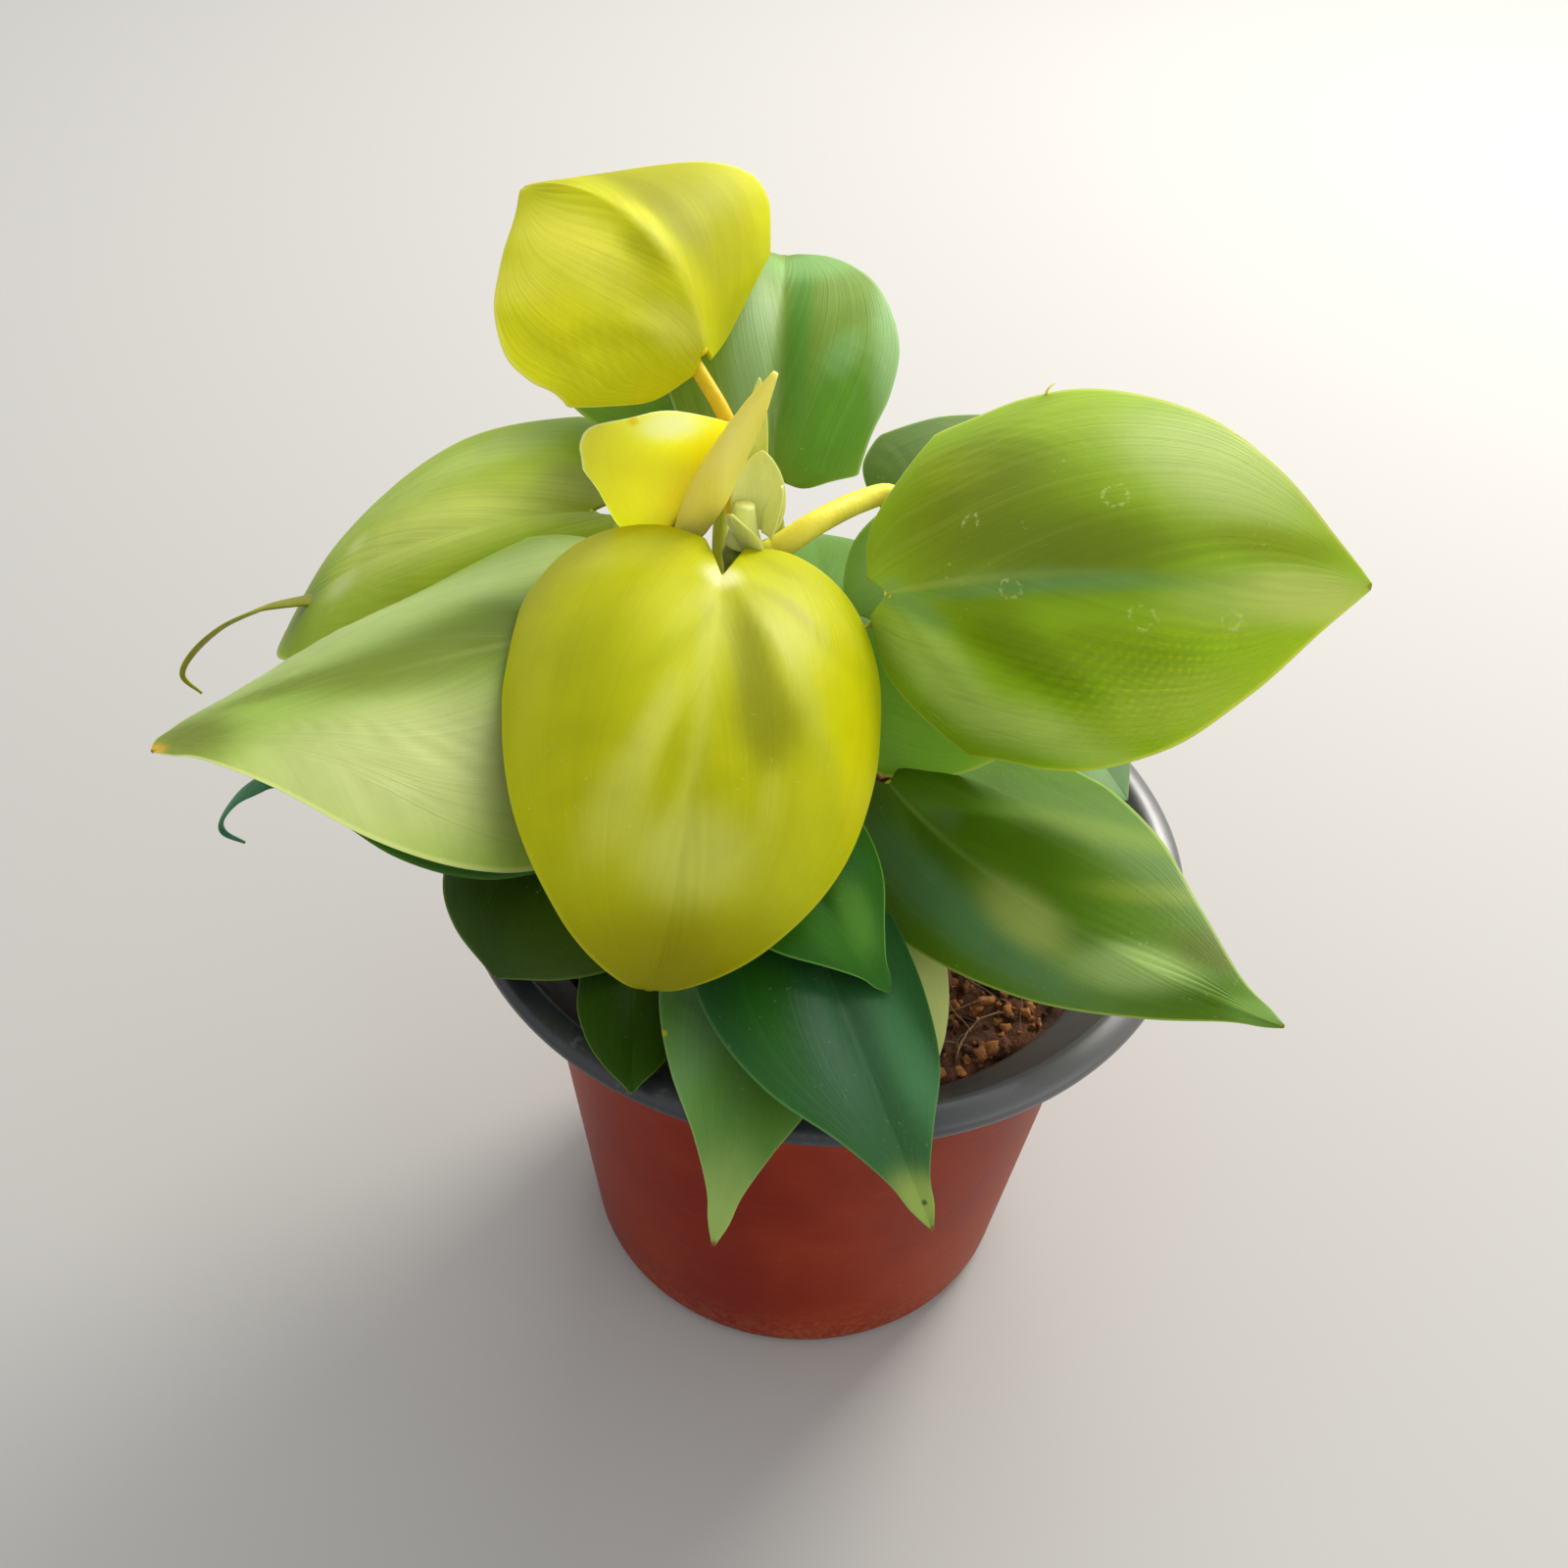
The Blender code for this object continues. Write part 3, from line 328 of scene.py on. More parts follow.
leaf("leaf_front_middle", (-11.5, -22.4, 122), (-57.4, -2.4, -5.5), (36.7, 29.3, 5),
     ("stem_front", 104, -30, 70), (52, 64, 23), [(-10, -17, 114)], outline=DRAWN_OUTLINE, droop=37.3,
     curl=35.9, side=-18.6, fold=9, belly=0.07, tone=(42, 94, 0), margin=(108, 166, 72), lines=0.7,
     ribs=0.05, rays=[(0, 9, -0.3, 40)], roughness=0.4, washes=[(-3, 24, 7, 3, 20, (92, 146, 44), 0.75),
        (-8, 12, 9, 4, 0, (40, 100, 0), 0.7), (3, 20, 9, 3, 0, (60, 122, 6), 0.6)])
leaf("leaf_left_dark", (-37, -11.5, 108), (-113, -1, 0), (33.6, 44.5, 6), ("stem_left", 96, -110, 60),
     (56, 64, 25), [(-35, -5, 103)], droop=36, curl=31, side=3, fold=5, belly=0.12, tone=(44, 66, 2),
     margin=(84, 112, 24), lines=0.6, washes=[(-6, 24, 9, 8, 0, (62, 88, 4), 0.6)])
leaf("leaf_left_far", (-47, -2, 121.5), (199, 1, 19), (53, 45, 5), ("stem_left", 106, 200, 60),
     (56, 72, 27), [(-38, 5, 117)], outline=DRAWN_OUTLINE, droop=30, hook=60, curl=28, side=5, fold=6,
     skew=-0.26, tail=[(-90.5, -18, 114.3), (-95.1, -18, 110.4), (-98.5, -18, 105.2), (-98.6, -18, 102.1),
        (-95.4, -18, 100.2)], edge=0.3, tone=(36, 74, 14), margin=(70, 110, 50), lines=0.6,
     washes=[(-10, 30, 20, 5, 0, (40, 84, 30), 0.7)], tail_colour=(60, 122, 78))
leaf("leaf_front_left", (-28, -38, 98), (-84, 0, 0), (22, 18, 3), ("stem_front", 92, -140, 60),
     (36, 44, 29), [(-23, -28, 95)], droop=8, curl=30, fold=10, tone=(44, 72, 4), margin=(96, 122, 30),
     lines=0.6)
leaf("leaf_back_right", (12, 44, 134), (22, 12, -20), (46, 40, 7), ("stem_main", 98, 60, 60), (56, 72, 31),
     [(-1, 30, 118)], droop=30, curl=30, fold=8, tone=(84, 110, 34), margin=(120, 146, 50))
# Its pale wash by the base is painted sheen.
leaf("leaf_under_right", (6, 19, 128), (-14, 16, -50), (40, 48, 7), ("stem_main", 112, 10, 60),
     (56, 72, 33), [(-2, 15, 120)], skew=0.12, droop=22, curl=30, fold=4, tone=(128, 174, 62),
     margin=(170, 200, 110), washes=[(-8, 8, 12, 9, 0, (176, 214, 140), 0.9)])
leaf("leaf_right_pale", (13, -19, 97), (-73, -12, 0), (27, 13, 3), ("stem_right", 89.5, -40, 60),
     (32, 44, 35), [(16.5, -8, 95)], droop=14, curl=30, fold=8, tone=(214, 226, 128),
     margin=(226, 234, 156), lines=0.6)
leaf("leaf_rim_right", (26, 33.3, 111.7), (-36, -6, -12), (37, 28, 6), ("stem_right", 98, 60, 60),
     (52, 64, 37), [(20, 20, 106)], droop=46, curl=20, fold=14, tone=(108, 148, 84), margin=(160, 186, 132),
     lines=0.7, washes=[(0, 30, 8, 8, 0, (144, 172, 126), 0.7)])
leaf("leaf_back_low", (-4, 38, 112), (95, 4, 0), (46, 38, 7), ("stem_main", 90, 80, 60), (52, 64, 39),
     [(-6, 28, 104)], droop=36, curl=30, fold=8, tone=(84, 126, 14), margin=(140, 168, 64))
# Its whitish wash near the top is a painted highlight.
leaf("leaf_young", (-26.8, 14.4, 149.4), (15, 61.6, -78), (20, 23, 7), ("stem_main", 139, 190, 30),
     (44, 48, 41), [(-25, 12, 142)], outline=YOUNG_OUTLINE, droop=4, curl=-8, curl_right=4, skew=-0.8,
     rolled=[(-26.5, 13.5, 146.5), (-23.4, 13, 154.5), (-20, 12.6, 163), (-13.3, 14, 177.3)], glow=1.0,
     shine=0.3, tone=(255, 206, 70), margin=(255, 246, 168), lines=0.3, ribs=0, wave=0.2, roughness=0.46,
     washes=[(-8, 4, 9, 8, 0, (255, 200, 52), 0.8), (-4, 12, 4.5, 3, 20, (252, 184, 10), 0.85),
        (-9.5, 13.5, 5, 2.6, 56, (255, 250, 206), 0.85)], nicks=[((-15.2, 11.6), 1.2, (216, 120, 50))],
     petiole_colour=(214, 198, 70))

TIP_CORE = [(-17, 11.5, 147.9), (-17, 11.6, 150.5), (-17, 12, 154.5)]
SHEATHS = [
    {"foot": (-16, 14.3, 149.4), "length": 23, "width": 5, "heading": 92, "pitch": 56, "wrap": 60},
    {"foot": (-15, 13, 149.4), "length": 12.5, "width": 9.5, "heading": 90, "pitch": 60, "wrap": 40},
    {"foot": (-13, 11.4, 149.4), "length": 9, "width": 4, "heading": 40, "pitch": 72, "wrap": 50},
    {"foot": (-16.2, 8.9, 148), "length": 9.4, "width": 7.5, "heading": -128, "pitch": 62, "wrap": 36},
]


# Shape of a leaf

def catmull(points, where):
    knots = np.array(points, float)
    before = 2 * knots[0] - knots[1]
    after = 2 * knots[-1] - knots[-2]
    knots = np.vstack([before, knots, after])
    spans = len(points) - 1
    place = np.asarray(where, float) * spans
    index = np.minimum(place.astype(int), spans - 1)
    t = (place - index)[..., None]
    p0, p1, p2, p3 = (knots[index + step] for step in range(4))
    return 0.5 * (
        2 * p1 + (p2 - p0) * t + (2 * p0 - 5 * p1 + 4 * p2 - p3) * t**2 + (3 * p1 - p0 - 3 * p2 + p3) * t**3
    )


def rib_curve(spec):
    steps = np.linspace(-1.3 * spec["lobe"], 1.02 * spec["length"], RIB_STEPS)
    along = np.clip(steps / spec["length"], 0, 1)
    back = np.clip(-steps / spec["lobe"], 0, 1.3)
    bend = -math.radians(spec["droop"]) * along
    bend -= math.radians(spec["hook"]) * np.clip((along - HOOK_START) / (1 - HOOK_START), 0, 1) ** 1.5
    bend += math.radians(spec["lobe_drop"]) * back
    sway = math.radians(spec["side"]) * along
    stride = steps[1] - steps[0]
    bend_mid = (bend[1:] + bend[:-1]) / 2
    sway_mid = (sway[1:] + sway[:-1]) / 2
    ahead = np.concatenate([[0], np.cumsum(np.cos(bend_mid) * np.cos(sway_mid) * stride)])
    across = np.concatenate([[0], np.cumsum(np.cos(bend_mid) * np.sin(sway_mid) * stride)])
    up = np.concatenate([[0], np.cumsum(np.sin(bend_mid) * stride)])
    offsets = [line - np.interp(0, steps, line) for line in (across, ahead, up)]
    return steps, offsets, bend, sway


def leaf_axes(spec):
    heading, pitch, roll = (math.radians(spec[key]) for key in ("heading", "pitch", "roll"))
    level = math.cos(pitch)
    forward = np.array([math.cos(heading) * level, math.sin(heading) * level, math.sin(pitch)])
    right = np.array([math.sin(heading), -math.cos(heading), 0.0])
    normal = np.cross(right, forward)
    turned = right * math.cos(roll) + normal * math.sin(roll)
    upper = -right * math.sin(roll) + normal * math.cos(roll)
    return turned, forward, upper


def flat_blade(spec, across, along):
    """Flat coordinates of a blade: distance right of the rib and ahead of the petiole."""
    outline = catmull(spec["outline"], along)
    share = outline[..., 1]
    share = np.where(share > 0, share + spec["belly"] * 4 * share * (1 - share), share)
    edge = np.where(share < 0, share * spec["lobe"], share * spec["length"])
    rib = spec["length"] * along**ROW_CROWDING
    side = np.sign(across)
    reach = np.abs(across)
    half = spec["width"] / 2 * (1 + spec["skew"] * side)
    x = outline[..., 0] * half * reach
    y = rib + (edge - rib) * reach**ROW_SWEEP
    return x, y, side, half


def blade_points(spec, across, along):
    x, y, side, half = flat_blade(spec, across, along)
    steps, offsets, bend, sway = rib_curve(spec)
    rib_x, rib_y, rib_z = (np.interp(y, steps, line) for line in offsets)
    bend_here = np.interp(y, steps, bend)
    sway_here = np.interp(y, steps, sway)

    curl = np.where(side > 0, spec.get("curl_right", spec["curl"]), spec.get("curl_left", spec["curl"]))
    start = math.radians(spec["fold"])
    rate = np.radians(curl) / half
    end = start - rate * x
    local_x = side * (np.sin(start) - np.sin(end)) / rate
    local_z = (np.cos(end) - np.cos(start)) / rate
    turn = math.radians(spec["twist"]) * np.clip(y / spec["length"], 0, 1)
    flat_x = local_x * np.cos(turn) - local_z * np.sin(turn)
    flat_z = local_x * np.sin(turn) + local_z * np.cos(turn)

    place_x = rib_x + flat_x * np.cos(sway_here)
    place_y = rib_y - flat_z * np.sin(bend_here) - flat_x * np.sin(sway_here)
    place_z = rib_z + flat_z * np.cos(bend_here)
    right, forward, upper = leaf_axes(spec)
    base = np.array(spec["base"], float)
    return base + place_x[..., None] * right + place_y[..., None] * forward + place_z[..., None] * upper


def unit(vectors):
    size = np.linalg.norm(vectors, axis=-1, keepdims=True)
    return vectors / np.maximum(size, 1e-9)


def surface_normals(points, upward):
    """Directions square to a net of points, on the side that upward faces."""
    rows = np.gradient(points, axis=0)
    columns = np.gradient(points, axis=1)
    normals = unit(np.cross(columns, rows))
    middle = normals[points.shape[0] // 3, points.shape[1] // 2]
    if np.dot(middle, upward) < 0:
        normals = -normals
    return normals


def looks_away(net, row, column, upward):
    """Whether the faces of a net, taken in order, look away from a direction."""
    corner = net[row, column]
    facing = np.cross(net[row, column + 1] - corner, net[row + 1, column] - corner)
    return np.dot(facing, upward) < 0


def soft_noise(points, scale, seed):
    """Smooth noise from -1 to 1 over places given in millimetres."""
    shift = Vector((seed * 17.3, seed * 5.1, seed * 9.7))
    flat = points.reshape(-1, 3) / scale
    values = [noise.noise(Vector(place) + shift) for place in flat]
    return np.array(values).reshape(points.shape[:-1])


def vein_place(spec, x, y, half):
    """Which vein a point lies on: they leave the rib one after another and arch to the tip."""
    margin = catmull(spec["outline"], np.linspace(0, 1, RIB_STEPS))
    ahead = np.where(margin[:, 1] < 0, margin[:, 1] * spec["lobe"], margin[:, 1] * spec["length"])
    first = int(np.argmin(ahead))
    widest = np.interp(y, ahead[first:], margin[first:, 0]) * half
    reach = np.clip(x / np.maximum(widest, 1.0), 0, 1)
    return y / spec["length"] + VEIN_ARCH * np.log(VEIN_SPREAD - reach)


def blade_relief(spec, points, across, along, veins):
    """Height of folds, arching ribs and waves over the smooth blade."""
    x, y, side, _ = flat_blade(spec, across, along)
    distance = np.hypot(x, y)
    angle = np.degrees(np.arctan2(side * x, np.maximum(y, 0.01)))
    reach = np.abs(across)
    relief = np.zeros_like(x)
    for centre, spread, height, length in spec["rays"]:
        fan = np.exp(-((angle - centre) / spread) ** 2)
        fade = np.clip(distance / 14, 0, 1) * np.exp(-((distance / length) ** 3))
        relief += height * fan * fade * np.clip(y / 3, 0, 1)
    window = np.sin(math.pi * np.clip(reach, 0, 1)) * np.clip(distance / 15, 0, 1)
    window = window * np.clip((1 - y / spec["length"]) / 0.3, 0, 1)
    wobble = 0.03 * soft_noise(points, 16, spec["seed"])
    relief += spec["ribs"] * np.sin(2 * math.pi * VEIN_COUNT * (veins + wobble)) * window
    relief += spec["wave"] * soft_noise(points, 24, spec["seed"] + 50) * (0.3 + reach**2)
    relief += 0.25 * spec["wave"] * reach**4 * np.sin(along * 21 + spec["seed"])
    return relief


def paint(colour):
    """Linear colour from one as it looks."""
    return tuple((part / 255) ** 2.2 for part in colour)


def blade_tones(spec, x, y, side):
    """Colour over a blade: its own, with the washes laid over it one after another; some washes are painted
    highlights, painted sheen and painted shade.
    """
    tones = np.tile(paint(spec["tone"]), (*x.shape, 1))
    for right, ahead, long, wide, turn, colour, cover in spec["washes"]:
        lean = math.radians(turn)
        off_x, off_y = side * x - right, y - ahead
        along = (off_x * math.sin(lean) + off_y * math.cos(lean)) / long
        beside = (off_x * math.cos(lean) - off_y * math.sin(lean)) / wide
        share = cover * np.exp(-((along**2 + beside**2) ** 1.7))
        tones += (np.array(paint(colour)) - tones) * share[..., None]
    return tones


# Mesh helpers

def link(item):
    bpy.context.scene.collection.objects.link(item)
    return item


def grid_faces(rows, columns, start, flip, loop=False):
    faces = []
    last = columns if loop else columns - 1
    for row in range(rows - 1):
        for column in range(last):
            a = start + row * columns + column
            b = start + row * columns + (column + 1) % columns
            quad = (a, b, b + columns, a + columns)
            faces.append(quad[::-1] if flip else quad)
    return faces


class Builder:
    """Gathers nets of points into one mesh with several materials, a UV map and attributes."""

    def __init__(self):
        self.points = []
        self.uvs = []
        self.faces = []
        self.slots = []
        self.values = {"tint": [], "vein": []}
        self.tones = []
        self.count = 0

    def add(self, points, faces, slot, uvs=None, tint=0.5, vein=0.0, tone=(0.5, 0.5, 0.5)):
        flat = np.asarray(points, float).reshape(-1, 3)
        if uvs is None:
            uvs = np.zeros((len(flat), 2))
        self.points.append(flat)
        self.uvs.append(np.asarray(uvs, float).reshape(-1, 2))
        self.values["tint"].append(np.full(len(flat), tint))
        self.values["vein"].append(np.broadcast_to(np.ravel(vein), (len(flat),)))
        self.tones.append(np.broadcast_to(np.reshape(tone, (-1, 3)), (len(flat), 3)))
        self.faces += [tuple(self.count + index for index in face) for face in faces]
        self.slots += [slot] * len(faces)
        self.count += len(flat)

    def build(self, name, materials):
        mesh = bpy.data.meshes.new(name)
        points = np.vstack(self.points) * MM
        mesh.from_pydata(points.tolist(), [], self.faces)
        for material in materials:
            mesh.materials.append(material)
        mesh.polygons.foreach_set("material_index", self.slots)
        layer = mesh.uv_layers.new(name="UVMap")
        corners = np.empty(len(mesh.loops), int)
        mesh.loops.foreach_get("vertex_index", corners)
        layer.data.foreach_set("uv", np.vstack(self.uvs)[corners].ravel())
        for key, values in self.values.items():
            made = mesh.attributes.new(key, "FLOAT", "POINT")
            made.data.foreach_set("value", np.concatenate(values))
        tones = np.vstack(self.tones)
        made = mesh.attributes.new("tone", "FLOAT_COLOR", "POINT")
        made.data.foreach_set("color", np.hstack([tones, np.ones((len(tones), 1))]).ravel())
        mesh.validate()
        mesh.shade_smooth()
        return link(bpy.data.objects.new(name, mesh))


def add_sheet(builder, top, under, uvs, top_slot, under_slot, flip, **values):
    """Closed sheet between two nets of points of the same size."""
    rows, columns = top.shape[:2]
    count = rows * columns
    builder.add(top, grid_faces(rows, columns, 0, flip), top_slot, uvs, **values)
    first = builder.count
    builder.add(under, grid_faces(rows, columns, 0, not flip), under_slot, uvs, **values)
    index = np.arange(count).reshape(rows, columns)
    ring = np.concatenate([index[0, :], index[1:, -1], index[-1, -2::-1], index[-2:0:-1, 0]])
    faces = []
    for a, b in zip(ring, np.roll(ring, -1)):
        quad = (int(b) - count, int(a) - count, int(a), int(b))
        faces.append(quad[::-1] if flip else quad)
    builder.faces += [tuple(first + place for place in face) for face in faces]
    builder.slots += [top_slot] * len(faces)


def tube_frames(line):
    """Two directions square to a line and to each other, without sudden turns along it."""
    tangents = unit(np.gradient(line, axis=0))
    first = np.cross(tangents[0], (0.3, 0.2, 0.93))
    sides = [first / np.linalg.norm(first)]
    for tangent in tangents[1:]:
        side = sides[-1] - tangent * np.dot(sides[-1], tangent)
        sides.append(side / np.linalg.norm(side))
    sides = np.array(sides)
    return sides, np.cross(tangents, sides)


def net_uvs(rows, columns):
    return np.stack(np.meshgrid(np.linspace(0, 1, columns), np.linspace(0, 1, rows)), -1)


def round_angles(sides):
    return np.linspace(0, 2 * math.pi, sides, endpoint=False)


def add_skin(builder, line, u, v, slot, tint=0.5):
    """Closed skin round a line, from how far each corner lies off it both ways."""
    first, second = tube_frames(line)
    net = line[:, None, :] + u[..., None] * first[:, None, :]
    net = net + v[..., None] * second[:, None, :]
    count, sides = u.shape
    faces = grid_faces(count, sides, 0, False, loop=True)
    faces += [tuple(range(sides))[::-1], tuple(range((count - 1) * sides, count * sides))]
    builder.add(net, faces, slot, net_uvs(count, sides), tint)


def add_tube(builder, line, radii, sides, slot, flatten=None, turn=0.0, tint=0.5):
    """Tube along a line. flatten squeezes it one way and turn twists that way along it."""
    line = np.asarray(line, float)
    count = len(line)
    angles = round_angles(sides)
    flatten = np.ones(count) if flatten is None else np.asarray(flatten)
    twist = np.linspace(0, turn, count)[:, None]
    a = np.cos(angles)[None, :]
    b = np.sin(angles)[None, :] * flatten[:, None]
    u = a * np.cos(twist) - b * np.sin(twist)
    v = a * np.sin(twist) + b * np.cos(twist)
    radii = np.broadcast_to(radii, (count,))[:, None]
    add_skin(builder, line, radii * u, radii * v, slot, tint)


# Materials

class Nodes:
    """Short names for the nodes that the materials are made of."""

    def __init__(self, name):
        self.material = bpy.data.materials.new(name)
        self.material.use_nodes = True
        self.tree = self.material.node_tree
        self.shader = self.tree.nodes["Principled BSDF"]

    def node(self, kind, **values):
        made = self.tree.nodes.new(kind)
        for key, value in values.items():
            setattr(made, key, value)
        return made

    def join(self, source, target):
        self.tree.links.new(source, target)

    def feed(self, socket, value):
        if isinstance(value, bpy.types.NodeSocket):
            self.join(value, socket)
        elif value is not None:
            socket.default_value = value

    def math(self, operation, a, b=None):
        made = self.node("ShaderNodeMath", operation=operation)
        self.feed(made.inputs[0], a)
        self.feed(made.inputs[1], b)
        return made.outputs[0]

    def by(self, a, b):
        return self.math("MULTIPLY", a, b)

    def plus(self, a, b):
        return self.math("ADD", a, b)

    def minus(self, a, b):
        return self.math("SUBTRACT", a, b)

    def spread(self, value, low, high, to_low=0.0, to_high=1.0):
        made = self.node("ShaderNodeMapRange", interpolation_type="SMOOTHSTEP")
        self.feed(made.inputs["Value"], value)
        made.inputs["From Min"].default_value = low
        made.inputs["From Max"].default_value = high
        made.inputs["To Min"].default_value = to_low
        made.inputs["To Max"].default_value = to_high
        return made.outputs["Result"]

    def mix(self, share, a, b):
        made = self.node("ShaderNodeMix", data_type="RGBA")
        self.feed(made.inputs["Factor"], share)
        self.feed(made.inputs["A"], (*a, 1.0) if isinstance(a, tuple) else a)
        self.feed(made.inputs["B"], (*b, 1.0) if isinstance(b, tuple) else b)
        return made.outputs["Result"]

    def place(self, scale=(1, 1, 1)):
        coordinates = self.node("ShaderNodeTexCoord")
        mapping = self.node("ShaderNodeMapping")
        mapping.inputs["Scale"].default_value = scale
        self.join(coordinates.outputs["Object"], mapping.inputs["Vector"])
        return mapping.outputs["Vector"]

    def noise(self, vector, scale, detail=2.0, rough=0.5, distort=0.0):
        made = self.node("ShaderNodeTexNoise")
        self.join(vector, made.inputs["Vector"])
        made.inputs["Scale"].default_value = scale
        made.inputs["Detail"].default_value = detail
        made.inputs["Roughness"].default_value = rough
        made.inputs["Distortion"].default_value = distort
        return made.outputs["Fac"]

    def times(self, colour, shade):
        made = self.node("ShaderNodeMix", data_type="RGBA", blend_type="MULTIPLY")
        made.inputs["Factor"].default_value = 1.0
        self.feed(made.inputs["A"], colour)
        self.feed(made.inputs["B"], shade)
        return made.outputs["Result"]

    def attribute(self, name, output="Fac"):
        return self.node("ShaderNodeAttribute", attribute_name=name).outputs[output]

    def bump(self, height, strength, distance):
        made = self.node("ShaderNodeBump")
        made.inputs["Strength"].default_value = strength
        made.inputs["Distance"].default_value = distance
        self.join(height, made.inputs["Height"])
        self.join(made.outputs["Normal"], self.shader.inputs["Normal"])

    def gap(self, centre):
        """Distance from a place given in millimetres."""
        made = self.node("ShaderNodeVectorMath", operation="DISTANCE")
        self.join(self.node("ShaderNodeTexCoord").outputs["Object"], made.inputs[0])
        made.inputs[1].default_value = tuple(part * MM for part in centre)
        return made.outputs["Value"]

    def uv(self):
        coordinates = self.node("ShaderNodeTexCoord")
        split = self.node("ShaderNodeSeparateXYZ")
        self.join(coordinates.outputs["UV"], split.inputs[0])
        return split.outputs[0], split.outputs[1]

    def vector(self, x, y, z):
        made = self.node("ShaderNodeCombineXYZ")
        for socket, value in zip(made.inputs, (x, y, z)):
            self.feed(socket, value)
        return made.outputs[0]

    def set(self, **values):
        """Feeds the shader's inputs, each under its name with underscores for spaces."""
        for key, value in values.items():
            self.feed(self.shader.inputs[key.replace("_", " ")], value)


def blade_material(name, spec, scars, nicks, under=False):
    """Leaf blade: its washes, painted highlights, sheen and shade among them, with fine arching veins, a
    pale margin, specks and scars.
    """
    nodes = Nodes(name)
    across, along = nodes.uv()
    reach = nodes.math("ABSOLUTE", nodes.minus(nodes.by(across, 2.0), 1.0))
    place = nodes.place()
    vein = nodes.attribute("vein")
    tone = nodes.attribute("tone", "Color")
    pale = paint(spec["margin"])
    if under:
        tone = nodes.mix(0.22, tone, pale)

    patches = nodes.noise(place, PATCH_SCALE, 3.0, 0.55, 0.4)
    colour = nodes.times(tone, nodes.spread(patches, 0.30, 0.70, 0.93, 1.06))
    side = nodes.by(across, 1.5)
    bands = nodes.noise(nodes.vector(nodes.by(vein, VEIN_BANDS), along, side), 1.0, 2.0, 0.6)
    lines = nodes.noise(nodes.vector(nodes.by(vein, VEIN_LINES), along, side), 1.0, 2.0, 0.6)
    strength = spec["lines"]
    inner = nodes.by(nodes.spread(reach, 0.98, 0.80), nodes.spread(along, 0.98, 0.70))
    deep = nodes.by(nodes.spread(bands, 0.52, 0.30), inner)
    dark = tuple(part * 0.4 for part in paint(spec["tone"]))
    colour = nodes.mix(nodes.by(deep, 0.10 * strength), colour, dark)
    high = nodes.by(nodes.spread(bands, 0.50, 0.72), inner)
    colour = nodes.mix(nodes.by(high, 0.08 * strength), colour, pale)
    colour = nodes.times(colour, nodes.spread(lines, 0.30, 0.70, 1 - 0.035 * strength, 1 + 0.03 * strength))

    rib = nodes.by(nodes.spread(reach, 0.030, 0.004, 0.0, 0.25), nodes.spread(along, 0.85, 0.05, 0.0, 1.0))
    colour = nodes.mix(rib, colour, pale)
    edge = nodes.spread(reach, 0.968, 0.990, 0.0, spec["edge"])
    colour = nodes.mix(edge, colour, pale)
    colour = nodes.mix(nodes.spread(along, 0.99, 1.0, 0.0, 0.8), colour, paint(TIP_BROWN))

    dust = nodes.noise(place, DUST_SCALE, 2.0, 0.6)
    where = nodes.noise(place, 80.0, 2.0, 0.5)
    specks = nodes.by(nodes.spread(dust, 0.66, 0.74), nodes.spread(where, 0.52, 0.64))
    colour = nodes.mix(nodes.by(specks, 0.16), colour, paint(SPECK_PALE))
    for centre, size in scars:
        wander = nodes.by(nodes.noise(place, 500.0, 2.0, 0.6), 1.6 * MM)
        ring = nodes.plus(nodes.minus(nodes.gap(centre), (size + 0.8) * MM), wander)
        ring = nodes.math("ABSOLUTE", ring)
        ring = nodes.by(nodes.spread(ring, 0.5 * MM, 0.05 * MM), nodes.spread(dust, 0.48, 0.60))
        colour = nodes.mix(nodes.by(ring, 0.42), colour, paint(SCAR_PALE))
    for centre, size, stain in nicks:
        mark = nodes.spread(nodes.gap(centre), size * MM, size * 0.3 * MM)
        colour = nodes.mix(mark, colour, paint(stain))

    rough = nodes.plus(nodes.by(patches, 0.12), spec["roughness"] - 0.06)
    rough = nodes.plus(rough, nodes.by(specks, 0.2))
    nodes.set(Base_Color=colour, Roughness=rough, Specular_IOR_Level=spec["shine"])
    nodes.set(Subsurface_Weight=spec["glow"], Subsurface_Scale=0.001 + 0.002 * spec["glow"])
    nodes.set(Subsurface_Radius=BLADE_GLOW)

    cells = nodes.noise(place, CELL_SCALE, 2.0, 0.6)
    height = nodes.plus(nodes.by(cells, 0.08), nodes.by(lines, 0.10 * strength))
    folds = nodes.by(bands, nodes.spread(along, 0.98, 0.70))
    height = nodes.plus(height, nodes.by(folds, 0.6 * strength))
    height = nodes.minus(height, nodes.by(rib, 0.5))
    nodes.bump(height, 0.30, 0.0006)
    return nodes.material


def stalk_material(name, light, dark, scale=120.0):
    nodes = Nodes(name)
    patches = nodes.noise(nodes.place((1, 1, 0.25)), scale, 3.0, 0.6)
    colour = nodes.mix(nodes.spread(patches, 0.35, 0.68), dark, light)
    fine = nodes.noise(nodes.place((1, 1, 0.06)), 1600.0, 2.0, 0.6)
    streak = tuple(part + 0.12 * (pale - part) for part, pale in zip(light, STALK_PALE))
    colour = nodes.mix(nodes.spread(fine, 0.5, 0.8, 0.0, 0.25), colour, streak)
    rough = nodes.spread(patches, 0.2, 0.8, 0.36, 0.52)
    nodes.set(Base_Color=colour, Roughness=rough, Specular_IOR_Level=0.25)
    nodes.set(Subsurface_Weight=0.15, Subsurface_Scale=0.001, Subsurface_Radius=STALK_GLOW)
    nodes.bump(fine, 0.25, 0.0004)
    return nodes.material


